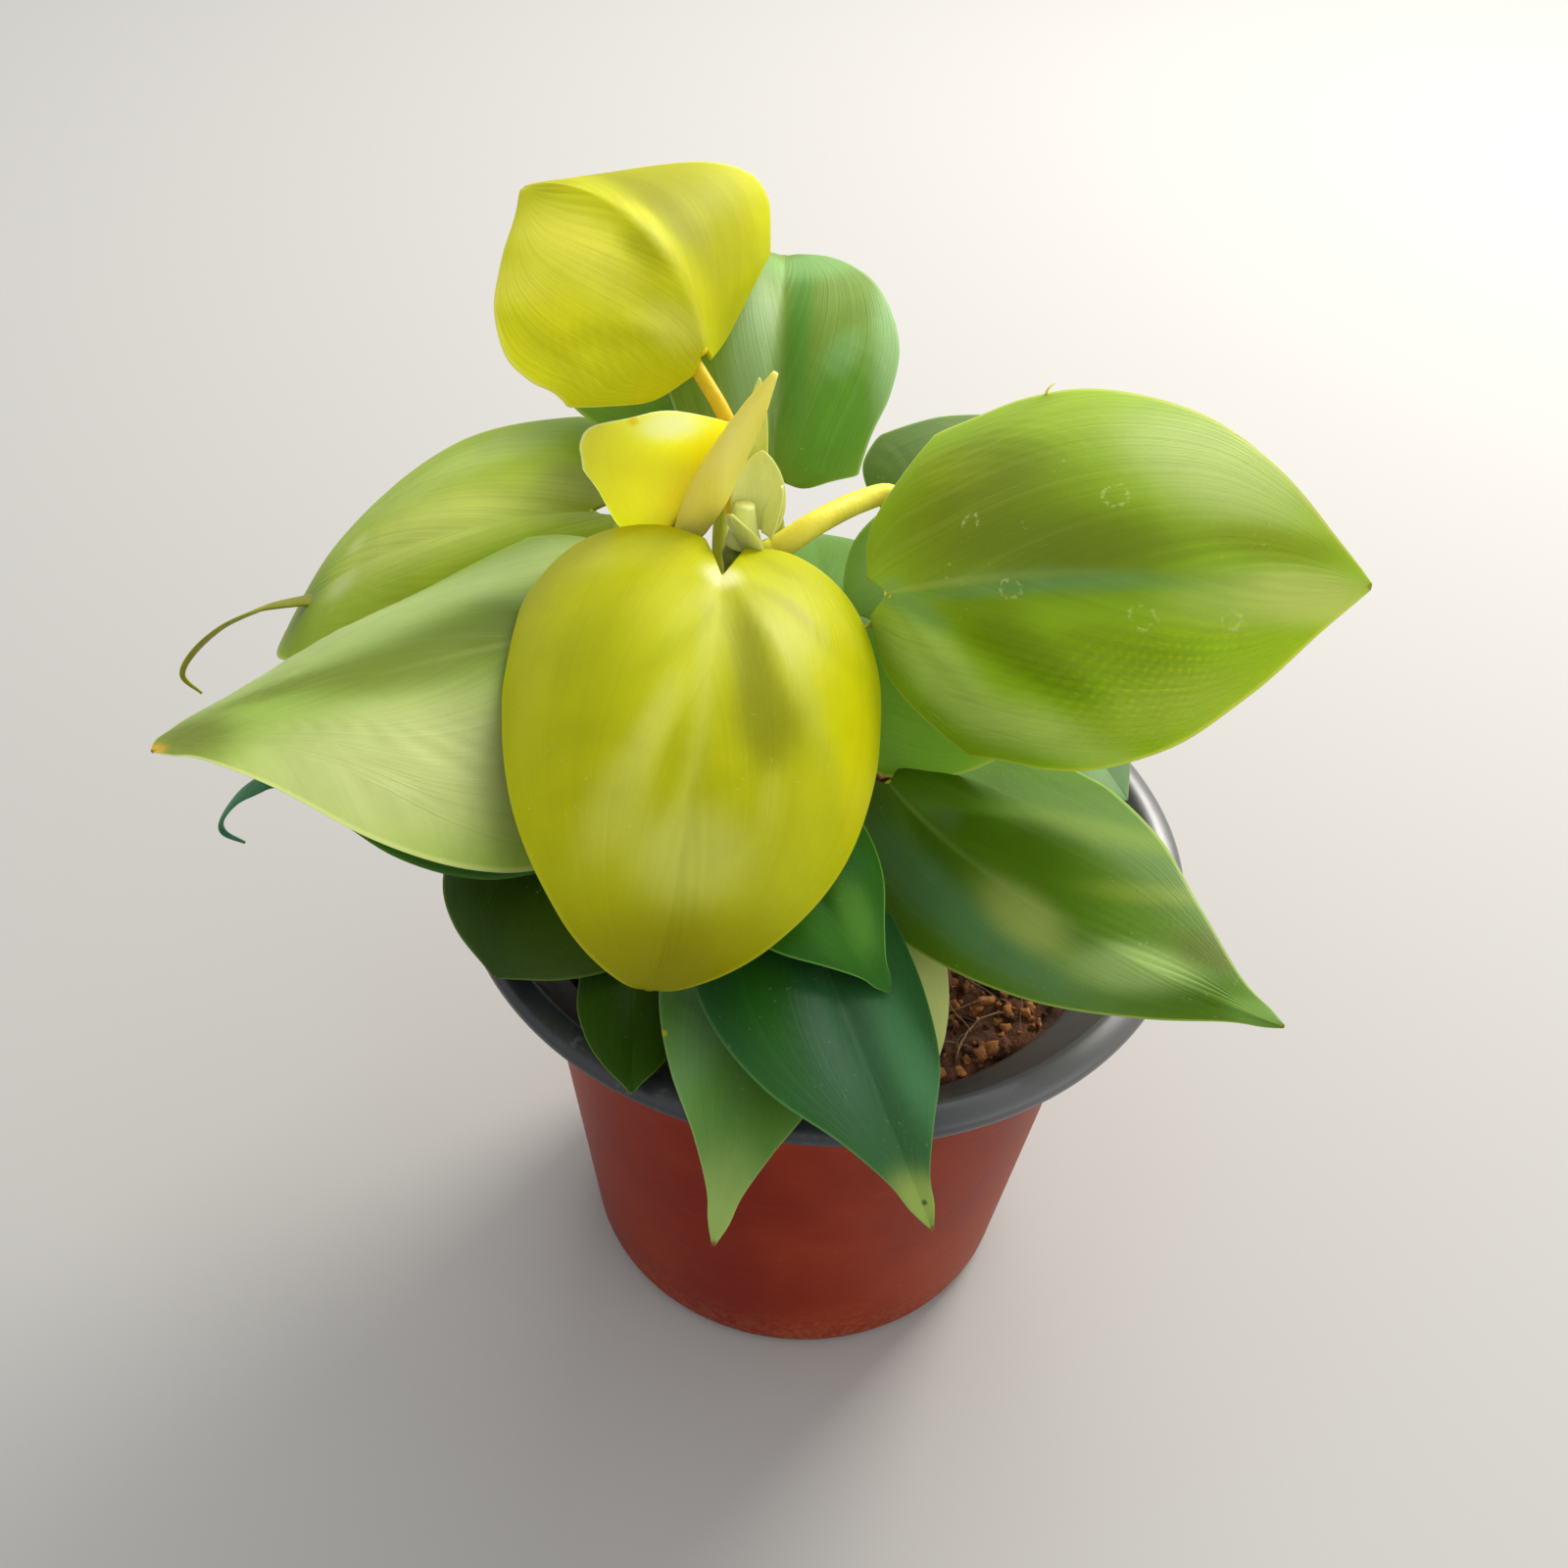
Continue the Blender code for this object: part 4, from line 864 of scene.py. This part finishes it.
def plastic_material(name, colour, worn, dust_and_sunlight, roughness, shine, painted_sunlight):
    """Thin moulded plastic, scuffed and a little dusty, its right side lightened by painted sunlight."""
    nodes = Nodes(name)
    place = nodes.place()
    patches = nodes.noise(place, 22.0, 3.0, 0.6)
    shade = nodes.mix(nodes.spread(patches, 0.36, 0.70), colour, worn)
    rings = nodes.noise(nodes.place((0.35, 0.35, 1.0)), 420.0, 3.0, 0.6)
    shade = nodes.mix(nodes.spread(rings, 0.50, 0.78, 0.0, 0.30), shade, worn)
    scuffs = nodes.noise(nodes.place((1.0, 1.0, 5.0)), 150.0, 4.0, 0.7)
    marks = nodes.by(nodes.spread(scuffs, 0.655, 0.70), nodes.spread(patches, 0.40, 0.62))
    shade = nodes.mix(nodes.by(marks, 0.28), shade, dust_and_sunlight)
    grit = nodes.noise(place, 800.0, 2.0, 0.6)
    grime = nodes.by(nodes.spread(grit, 0.60, 0.72), nodes.spread(patches, 0.48, 0.66))
    shade = nodes.mix(nodes.by(grime, 0.20), shade, dust_and_sunlight)
    split = nodes.node("ShaderNodeSeparateXYZ")
    nodes.join(place, split.inputs[0])
    splash = nodes.by(nodes.spread(split.outputs[2], 0.016, 0.0), nodes.spread(grit, 0.42, 0.6))
    shade = nodes.mix(nodes.by(splash, 0.35), shade, dust_and_sunlight)
    # Painted sunlight: the right side is mixed towards the dust colour, lighter as if the sun fell there.
    sunlit_side = nodes.spread(split.outputs[0], 0.0, 0.055, 0.0, painted_sunlight)
    shade = nodes.mix(sunlit_side, shade, dust_and_sunlight)
    rough = nodes.plus(nodes.by(patches, 0.22), roughness - 0.1)
    rough = nodes.plus(rough, nodes.by(marks, 0.2))
    nodes.set(Base_Color=shade, Roughness=rough, Specular_IOR_Level=shine)
    height = nodes.plus(nodes.by(rings, 0.5), nodes.by(grit, 0.12))
    nodes.bump(height, 0.18, 0.0006)
    return nodes.material


def peat_material(name, dark, light):
    nodes = Nodes(name)
    place = nodes.place()
    tint = nodes.attribute("tint")
    clods = nodes.noise(place, 260.0, 4.0, 0.65)
    share = nodes.plus(nodes.by(clods, 0.7), nodes.by(tint, 0.5))
    colour = nodes.mix(nodes.spread(share, 0.35, 0.85), dark, light)
    fine = nodes.noise(nodes.place((1.0, 1.0, 2.5)), 2200.0, 3.0, 0.7)
    colour = nodes.mix(nodes.spread(fine, 0.55, 0.8, 0.0, 0.5), colour, PEAT_PALE)
    nodes.set(Base_Color=colour, Roughness=0.95)
    height = nodes.plus(clods, nodes.by(fine, 0.6))
    nodes.bump(height, 0.8, 0.0012)
    return nodes.material


# Pieces

def stem_swell(share):
    return 1 + (STEM_SWELL - 1) * (0.5 + 0.5 * np.cos(4 * math.pi * share))


def stem_at(name, height):
    shares = np.linspace(0, 1, RIB_STEPS)
    line = catmull(STEMS[name]["path"], shares)
    share = np.interp(height, line[:, 2], shares)
    return catmull(STEMS[name]["path"], share), STEMS[name]["radius"] * stem_swell(share)


def petiole_line(spec, count):
    toward = math.radians(spec["toward"])
    outward = np.array([math.cos(toward), math.sin(toward), 0.0])
    centre, radius = stem_at(spec["stem"], spec["height"])
    start = centre + outward * (radius + PETIOLE_GAP)
    shoulder = start + outward * SHOULDER
    arrive = math.radians(spec["arrive"])
    _, forward, upper = leaf_axes(spec)
    base = np.array(spec["base"], float)
    neck = base - (forward * math.cos(arrive) + upper * math.sin(arrive)) * NECK
    stops = [shoulder, *spec["via"], neck, base]
    return np.vstack([start, catmull(stops, np.linspace(0, 1, count))])


def add_blade(builder, spec, across, along, top_slot, under_slot):
    """Thin waved blade with an impressed rib above and a raised one below."""
    columns, rows = np.meshgrid(across, along)
    smooth = blade_points(spec, columns, rows)
    _, _, upper = leaf_axes(spec)
    normals = surface_normals(smooth, upper)
    x, y, side, half = flat_blade(spec, columns, rows)
    veins = vein_place(spec, x, y, half)
    relief = blade_relief(spec, smooth, columns, rows, veins)
    middle = smooth + normals * relief[..., None]
    normals = surface_normals(middle, upper)
    near_rib = np.exp(-((x / RIB_REACH) ** 2)) * np.clip(1.0 - rows, 0, 1)
    thickness = MARGIN_THICKNESS + (RIB_THICKNESS - MARGIN_THICKNESS) * np.exp(-((x / THICK_REACH) ** 2))
    rounding = np.sqrt(np.clip(1.03 - np.abs(columns) ** 16, 0.05, 1))
    thickness = thickness * rounding * np.clip(1.3 - rows, 0.3, 1)
    top = middle + normals * (thickness / 2 - RIB_GROOVE * near_rib)[..., None]
    under = middle - normals * (thickness / 2 + RIB_KEEL * near_rib)[..., None]
    uvs = np.stack([columns / 2 + 0.5, rows], -1)
    tones = blade_tones(spec, x, y, side)
    flip = looks_away(top, rows.shape[0] // 3, rows.shape[1] // 2, upper)
    add_sheet(builder, top, under, uvs, top_slot, under_slot, flip, vein=veins, tone=tones)

    def place_at(right, ahead):
        nearest = np.argmin((side * x - right) ** 2 + (y - ahead) ** 2)
        return tuple(top.reshape(-1, 3)[nearest])

    scars = [(place_at(right, ahead), size) for right, ahead, size in spec["scars"]]
    nicks = [(place_at(*where), size, stain) for where, size, stain in spec["nicks"]]
    return scars, nicks


def make_leaf(name, spec):
    builder = Builder()
    half = spec["columns"] // 2
    ease = np.sin(np.linspace(0, math.pi / 2, half + 1)) ** 0.9
    left, right = -ease[::-1], ease[1:]
    if "rolled" in spec:
        right = right[: half // 3] / right[half // 3 - 1]
    across = np.concatenate([left, right])
    along = 1 - (1 - np.linspace(0, 1, spec["rows"] + 1)) ** 1.1
    scars, nicks = add_blade(builder, spec, across, along, 0, 1)

    line = petiole_line(spec, 48)
    radii = spec["petiole"] * np.linspace(*PETIOLE_TAPER, len(line))
    radii = radii * (1 + PETIOLE_FLARE * np.exp(-np.linspace(0, 9, len(line))))
    radii[-3:] *= (0.96, 0.86, 0.55)
    add_tube(builder, line, radii, 14, 2)
    if "hair" in spec:
        add_hair(builder, spec)
    if "tail" in spec:
        root = blade_points(spec, np.array(0.0), np.array(0.86)) - 1.6 * leaf_axes(spec)[2]
        share = np.linspace(0, 1, 60)
        line = catmull([root, *spec["tail"]], share)
        radii, flatness = (np.interp(share, *zip(*steps)) for steps in (TAIL_RADII, TAIL_FLATNESS))
        add_tube(builder, line, radii, 12, 3, flatness, TAIL_TURN)
    if "rolled" in spec:
        add_roll(builder, spec)

    light = paint(spec["petiole_colour"])
    materials = [
        blade_material(name + "_upper", spec, scars, nicks),
        blade_material(name + "_under", spec, [], nicks, under=True),
        stalk_material(name + "_stalk", light, tuple(part * 0.85 for part in light)),
    ]
    if "tail" in spec:
        shade = paint(spec["tail_colour"])
        materials.append(stalk_material(name + "_tail", shade, tuple(part * 0.6 for part in shade)))
    if "rolled" in spec:
        materials.append(stalk_material(name + "_roll", *(paint(shade) for shade in ROLL_SHADES), 60.0))
    piece = builder.build(name + "_leaf", materials)
    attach(piece, BODY)
    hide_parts(name)
    return piece


def add_hair(builder, spec):
    """Tiny dry curl standing on the margin."""
    root = blade_points(spec, np.array(float(spec["hair"][0])), np.array(float(spec["hair"][1])))
    share = np.linspace(0, 1, 10)
    _, _, upper = leaf_axes(spec)
    line = root + np.outer(2.6 * share, (0.55, 0.25, 0.8)) + np.outer(0.8 * np.sin(3.0 * share), upper)
    add_tube(builder, line, 0.28 * (1 - 0.75 * share), 6, 2)


def add_roll(builder, spec):
    """Half of the blade still wound up: a spindle whose outer edge shows as a seam."""
    count, sides = 60, 40
    share = np.linspace(0, 1, count)
    line = catmull(spec["rolled"], share)
    radii = np.interp(share, np.linspace(0, 1, len(ROLLED_RADII)), ROLLED_RADII)
    angles = round_angles(sides)
    lip = 1.0 - 0.13 * (angles / (2 * math.pi)) ** 0.6
    start = 2.0 + 1.1 * share
    turned = angles[None, :] + start[:, None]
    size = radii[:, None] * lip[None, :]
    add_skin(builder, line, size * np.cos(turned), size * np.sin(turned), 3)


def make_stem(name, spec, material):
    builder = Builder()
    shares = np.linspace(0, 1, 90)
    line = catmull(spec["path"], shares)
    radii = spec["radius"] * stem_swell(shares)
    heights = [leaf_spec["height"] for leaf_spec in LEAVES.values() if leaf_spec["stem"] == name]
    for height in heights:
        radii = radii * (1 + NODE_SWELL * np.exp(-(((line[:, 2] - height + 2.2) / 0.8) ** 2)))
    radii[-1] *= 0.8
    add_tube(builder, line, radii, 24, 0)
    piece = builder.build(name + "_piece", [material])
    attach(piece, BODY)
    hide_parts(name)


def sheath_points(spec, across, along):
    """Points of a sheath and the direction that its inner side faces."""
    right, forward, upper = leaf_axes({"roll": 0, **spec})
    width = np.sin(math.pi * (0.22 + 0.78 * along)) ** 0.7
    wrap = math.radians(spec["wrap"])
    radius = spec["width"] / 2 / wrap
    angle = wrap * across * width
    x = radius * np.sin(angle)
    y = spec["length"] * along
    z = radius * (1 - np.cos(angle)) + 0.08 * spec["length"] * along**2
    base = np.array(spec["foot"], float)
    return base + x[..., None] * right + y[..., None] * forward + z[..., None] * upper, upper


def make_growing_tip():
    builder = Builder()
    core = catmull(TIP_CORE, np.linspace(0, 1, 20))
    add_tube(builder, core, np.linspace(3.0, 1.6, 20), 24, 0)
    across, along = np.meshgrid(np.linspace(-1, 1, 21), np.linspace(0, 0.995, 30))
    for spec in SHEATHS:
        middle, upper = sheath_points(spec, across, along)
        normals = surface_normals(middle, upper)
        keel = 0.22 * np.exp(-((across / 0.16) ** 2))
        half = 0.22 * np.sqrt(1.04 - across**8)
        top = middle + normals * half[..., None]
        under = middle - normals * (half + keel)[..., None]
        uvs = np.stack([across / 2 + 0.5, along], -1)
        add_sheet(builder, top, under, uvs, 0, 0, looks_away(top, 5, 10, upper))
    pale = stalk_material("sheath_pale_look", *(paint(shade) for shade in SHEATH_SHADES), 90.0)
    piece = builder.build("growing_tip_piece", [pale])
    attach(piece, BODY)
    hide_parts("growing_tip")


def inner_radius(height):
    low, high = FOOT + WALL, POT_HEIGHT - FUNNEL_DROP
    share = (height - low) / (high - low)
    narrow = BASE_RADIUS - WALL
    return narrow + (SHOULDER_RADIUS - 2.0 - narrow) * share


def lathe(builder, profile, sides, slots):
    """Surface of revolution, its slots given per span of the profile."""
    angles = round_angles(sides)
    net = np.array([[(r * math.cos(a), r * math.sin(a), z) for a in angles] for r, z in profile])
    faces = grid_faces(len(profile), sides, 0, False, loop=True)
    builder.add(net, faces, 0, net_uvs(len(profile), sides))
    builder.slots[-len(faces):] = [slots[index // sides] for index in range(len(faces))]


def make_pot():
    top = POT_HEIGHT
    drop = top - FUNNEL_DROP
    inside = [
        (BASE_RADIUS - FOOT - WALL, WALL),
        (BASE_RADIUS - WALL - 0.6, FOOT * 0.5 + WALL),
        (BASE_RADIUS - WALL, FOOT + WALL),
        (inner_radius(drop), drop),
        (inner_radius(drop) + 0.9, drop + 0.9),
        (SHOULDER_RADIUS + 0.6, top - 5.6),
        (SHOULDER_RADIUS + 2.2, top - 4.4),
    ]
    lip = [(RIM_RADIUS - inward, top - down) for inward, down in LIP_STEPS]
    shoulder = [(SHOULDER_RADIUS + outward, top - down) for outward, down in SHOULDER_STEPS]
    foot = [(BASE_RADIUS + 0.15, FOOT + 1.0)]
    foot += [(BASE_RADIUS - FOOT * inward, FOOT * up) for inward, up in FOOT_SHARES]
    builder = Builder()
    profile = inside + lip + shoulder + foot
    black_spans = len(inside) + BLACK_LIP_STEPS
    slots = [1] * black_spans + [0] * (len(profile) - 1 - black_spans)
    lathe(builder, profile, 192, slots)
    red = plastic_material("pot_outside", *RED_PLASTIC)
    black = plastic_material("pot_inside", *BLACK_PLASTIC)
    wall = builder.build("pot_wall", [red, black])
    floor = make_pot_floor(red, black)
    for piece in (wall, floor):
        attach(piece, BODY)
    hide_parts("pot")


def make_pot_floor(red, black):
    """Flat bottom with its ring of drain holes."""
    edge = BASE_RADIUS - FOOT
    rings = bpy.data.curves.new("pot_floor_rings", "CURVE")
    rings.dimensions = "2D"
    rings.fill_mode = "BOTH"
    rings.extrude = WALL / 2 * MM
    circles = [(0.0, 0.0, edge)]
    for number in range(DRAIN_HOLES):
        turn = 2 * math.pi * number / DRAIN_HOLES
        circles.append((DRAIN_CIRCLE * math.cos(turn), DRAIN_CIRCLE * math.sin(turn), DRAIN_RADIUS))
    for x, y, radius in circles:
        spline = rings.splines.new("POLY")
        count = 192 if radius == edge else 40
        spline.points.add(count - 1)
        for index, point in enumerate(spline.points):
            angle = 2 * math.pi * index / count
            point.co = ((x + radius * math.cos(angle)) * MM, (y + radius * math.sin(angle)) * MM, 0.0, 1.0)
        spline.use_cyclic_u = True
    guide = link(bpy.data.objects.new("pot_floor_rings", rings))
    graph = bpy.context.evaluated_depsgraph_get()
    mesh = bpy.data.meshes.new_from_object(guide.evaluated_get(graph))
    bpy.data.objects.remove(guide, do_unlink=True)
    mesh.transform(Matrix.Translation((0, 0, WALL / 2 * MM)))
    mesh.materials.clear()
    mesh.materials.append(red)
    mesh.materials.append(black)
    for face in mesh.polygons:
        if face.center.z > WALL * 0.9 * MM:
            face.material_index = 1
    return link(bpy.data.objects.new("pot_floor", mesh))


def soil_relief(x, y):
    broad = math.sin(0.19 * x + 0.6) * math.cos(0.23 * y - 0.4)
    fine = math.sin(0.61 * x - 0.37 * y) * math.cos(0.53 * y + 0.29 * x)
    return SOIL_RELIEF * (0.7 * broad + 0.5 * fine)


def soil_height(x, y):
    place = Vector((x, y, 3.0))
    grain = sum(height * noise.noise(place / size) for size, height in PEAT_GRAIN)
    return SOIL_TOP + soil_relief(x, y) - 0.4 + grain


def soil_limit(height):
    return inner_radius(height) * math.cos(math.pi / POT_SIDES) - CLEARANCE


def peat_edge():
    return soil_limit(SOIL_TOP - PEAT_EDGE_DROP)


def make_soil():
    rings, sides = 110, 300
    edge = peat_edge()
    builder = Builder()
    net = np.zeros((rings + 2, sides, 3))
    for ring in range(rings):
        radius = edge * ((ring + 0.02) / (rings - 1)) ** 0.8
        for side in range(sides):
            angle = 2 * math.pi * side / sides
            x, y = radius * math.cos(angle), radius * math.sin(angle)
            sink = 1.2 * max(0.0, radius / edge - 0.95) / 0.05
            net[ring, side] = (x, y, soil_height(x, y) - sink)
    angles = round_angles(sides)
    for row, height in ((rings, 60.0), (rings + 1, FOOT + WALL + CLEARANCE)):
        radius = soil_limit(height)
        net[row] = np.stack([radius * np.cos(angles), radius * np.sin(angles), np.full(sides, height)], -1)
    faces = grid_faces(rings + 2, sides, 0, False, loop=True)
    faces.append(tuple(range((rings + 1) * sides, (rings + 2) * sides)))
    faces.append(tuple(range(sides))[::-1])
    builder.add(net, faces, 0)
    peat = peat_material("peat_ground", *PEAT_GROUND)
    body = builder.build("soil_bed", [peat])
    crumbs = make_crumbs()
    fibres = make_fibres()
    for piece in (body, crumbs, fibres):
        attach(piece, BODY)
    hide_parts("soil")


def clear_of_stems(x, y, gap):
    for spec in STEMS.values():
        foot_x, foot_y, _ = spec["path"][0]
        if math.hypot(x - foot_x, y - foot_y) < spec["radius"] * STEM_SWELL + gap:
            return False
    return True


def scatter(draw, limit):
    """A place drawn evenly over a disc, with its distance from the middle."""
    angle = draw.uniform(0, 2 * math.pi)
    radius = limit * math.sqrt(draw.random())
    return radius * math.cos(angle), radius * math.sin(angle), radius


def icosphere():
    """Corners and faces of a small ball of eighty triangles."""
    work = bmesh.new()
    bmesh.ops.create_icosphere(work, subdivisions=2, radius=1.0)
    work.verts.ensure_lookup_table()
    points = np.array([vert.co[:] for vert in work.verts])
    faces = [tuple(vert.index for vert in face.verts) for face in work.faces]
    work.free()
    return points, faces


def make_crumbs():
    draw = random.Random(SEED)
    points, faces = icosphere()
    builder = Builder()
    smallest, largest = CRUMB_SIZES
    limit = peat_edge() - 1.2
    made = 0
    while made < CRUMBS:
        x, y, radius = scatter(draw, limit)
        size = min(largest, smallest + draw.expovariate(CRUMB_RARITY))
        if not clear_of_stems(x, y, size + 0.3) or radius + size > limit + 1.0:
            continue
        shift = Vector((draw.uniform(-99, 99), draw.uniform(-99, 99), draw.uniform(-99, 99)))
        rough = np.array([
            1 + 0.75 * noise.noise(Vector(p) * 1.4 + shift) + 0.5 * noise.noise(Vector(p) * 3.4 + shift)
            for p in points
        ])
        shape = points * rough[:, None] * (1.0, draw.uniform(0.6, 1.0), draw.uniform(0.45, 0.85)) * size
        spin = Matrix.Rotation(draw.uniform(0, 6.28), 3, "Z")
        spin = np.array(spin @ Matrix.Rotation(draw.uniform(-0.7, 0.7), 3, "X"))
        shape = shape @ spin.T + (x, y, soil_height(x, y) + 0.15 * size)
        builder.add(shape, faces, 0, tint=draw.random())
        made += 1
    crumb = peat_material("peat_crumb", *PEAT_CRUMB)
    return builder.build("soil_crumbs", [crumb])


def make_fibres():
    draw = random.Random(SEED + 1)
    builder = Builder()
    limit = peat_edge() - 2.0
    strides = FIBRE_STEPS - 1
    made = 0
    while made < FIBRES:
        x, y, _ = scatter(draw, limit)
        heading = draw.uniform(0, 2 * math.pi)
        bend = draw.uniform(-FIBRE_BEND, FIBRE_BEND)
        length = draw.uniform(*FIBRE_LENGTHS)
        lift = draw.uniform(*FIBRE_LIFTS)
        line = []
        for step in range(FIBRE_STEPS):
            rise = lift * math.sin(math.pi * (step / strides)) * (length / FIBRE_STEPS)
            line.append((x, y, soil_height(x, y) + 0.3 + rise))
            x += length / strides * math.cos(heading)
            y += length / strides * math.sin(heading)
            heading += bend + draw.uniform(-FIBRE_WANDER, FIBRE_WANDER)
        if any(math.hypot(px, py) > limit or not clear_of_stems(px, py, 0.5) for px, py, _ in line):
            continue
        width = draw.uniform(*FIBRE_WIDTHS)
        radii = width * np.linspace(1, 0.6, FIBRE_STEPS)
        add_tube(builder, line, radii, 5, 0, tint=draw.random())
        made += 1
    fibre = peat_material("peat_fibre", *PEAT_FIBRE)
    return builder.build("soil_fibres", [fibre])


# Camera, light and floor

PHOTO_SIDE = 1600.0
FOCAL_PIXELS = 2000.0
SENSOR = 36.0
CAMERA_PLACE = (0.0, -0.244, 0.330)
CAMERA_PITCH = 42.4
CAMERA_YAW = -1.8
CAMERA_ROLL = 3.65
FLOOR_COLOUR = (0.44, 0.425, 0.40, 1.0)
SKY_COLOUR = (0.95, 0.97, 1.0, 1.0)
SKY_STRENGTH = 0.80
LIGHTS_AIM = (-0.02, 0.0, 0.11)
LIGHTS = [
    ("key", (0.44, 0.62, 0.62), (0.34, 0.34), 6.8, (1.0, 0.96, 0.88)),
    ("overhead", (0.22, 0.72, 0.80), (0.9, 0.7), 6.0, (0.98, 0.99, 1.0)),
    ("fill", (0.78, -0.45, 0.36), (0.7, 0.7), 1.7, (0.96, 0.98, 1.0)),
]


def make_camera():
    pitch, yaw, roll = (math.radians(turn) for turn in (CAMERA_PITCH, CAMERA_YAW, CAMERA_ROLL))
    ahead = Vector((math.sin(yaw) * math.cos(pitch), math.cos(yaw) * math.cos(pitch), -math.sin(pitch)))
    level = ahead.cross(Vector((0, 0, 1))).normalized()
    above = level.cross(ahead)
    right = level * math.cos(roll) + above * math.sin(roll)
    up = above * math.cos(roll) - level * math.sin(roll)
    data = bpy.data.cameras.new("camera")
    data.sensor_width = SENSOR
    data.lens = FOCAL_PIXELS / PHOTO_SIDE * SENSOR
    camera = link(bpy.data.objects.new("camera", data))
    axes = Matrix((right, up, -ahead)).transposed().to_4x4()
    camera.matrix_world = Matrix.Translation(CAMERA_PLACE) @ axes
    bpy.context.scene.camera = camera
    bpy.context.scene.view_settings.view_transform = "Standard"


def area_light(name, place, size, power, colour):
    data = bpy.data.lights.new(name, "AREA")
    data.shape = "RECTANGLE"
    data.size, data.size_y = size
    data.energy = power
    data.color = colour
    lamp = link(bpy.data.objects.new(name, data))
    lamp.location = place
    lamp.rotation_euler = (Vector(LIGHTS_AIM) - Vector(place)).to_track_quat("-Z", "Y").to_euler()


def make_stage():
    bpy.ops.mesh.primitive_plane_add(size=8.0)
    floor = bpy.context.object
    floor.name = "floor"
    nodes = Nodes("floor_pale")
    nodes.set(Base_Color=FLOOR_COLOUR, Roughness=0.9)
    floor.data.materials.append(nodes.material)
    world = bpy.data.worlds.new("studio")
    world.use_nodes = True
    sky = world.node_tree.nodes["Background"]
    sky.inputs["Color"].default_value = SKY_COLOUR
    sky.inputs["Strength"].default_value = SKY_STRENGTH
    bpy.context.scene.world = world
    for light in LIGHTS:
        area_light(*light)


def main():
    make_camera()
    make_stage()
    stem_look = stalk_material("stem_look", *(paint(shade) for shade in STEM_SHADES))
    make_pot()
    make_soil()
    for name, spec in STEMS.items():
        make_stem(name, spec, stem_look)
    make_growing_tip()
    for name, spec in LEAVES.items():
        make_leaf(name, spec)


main()
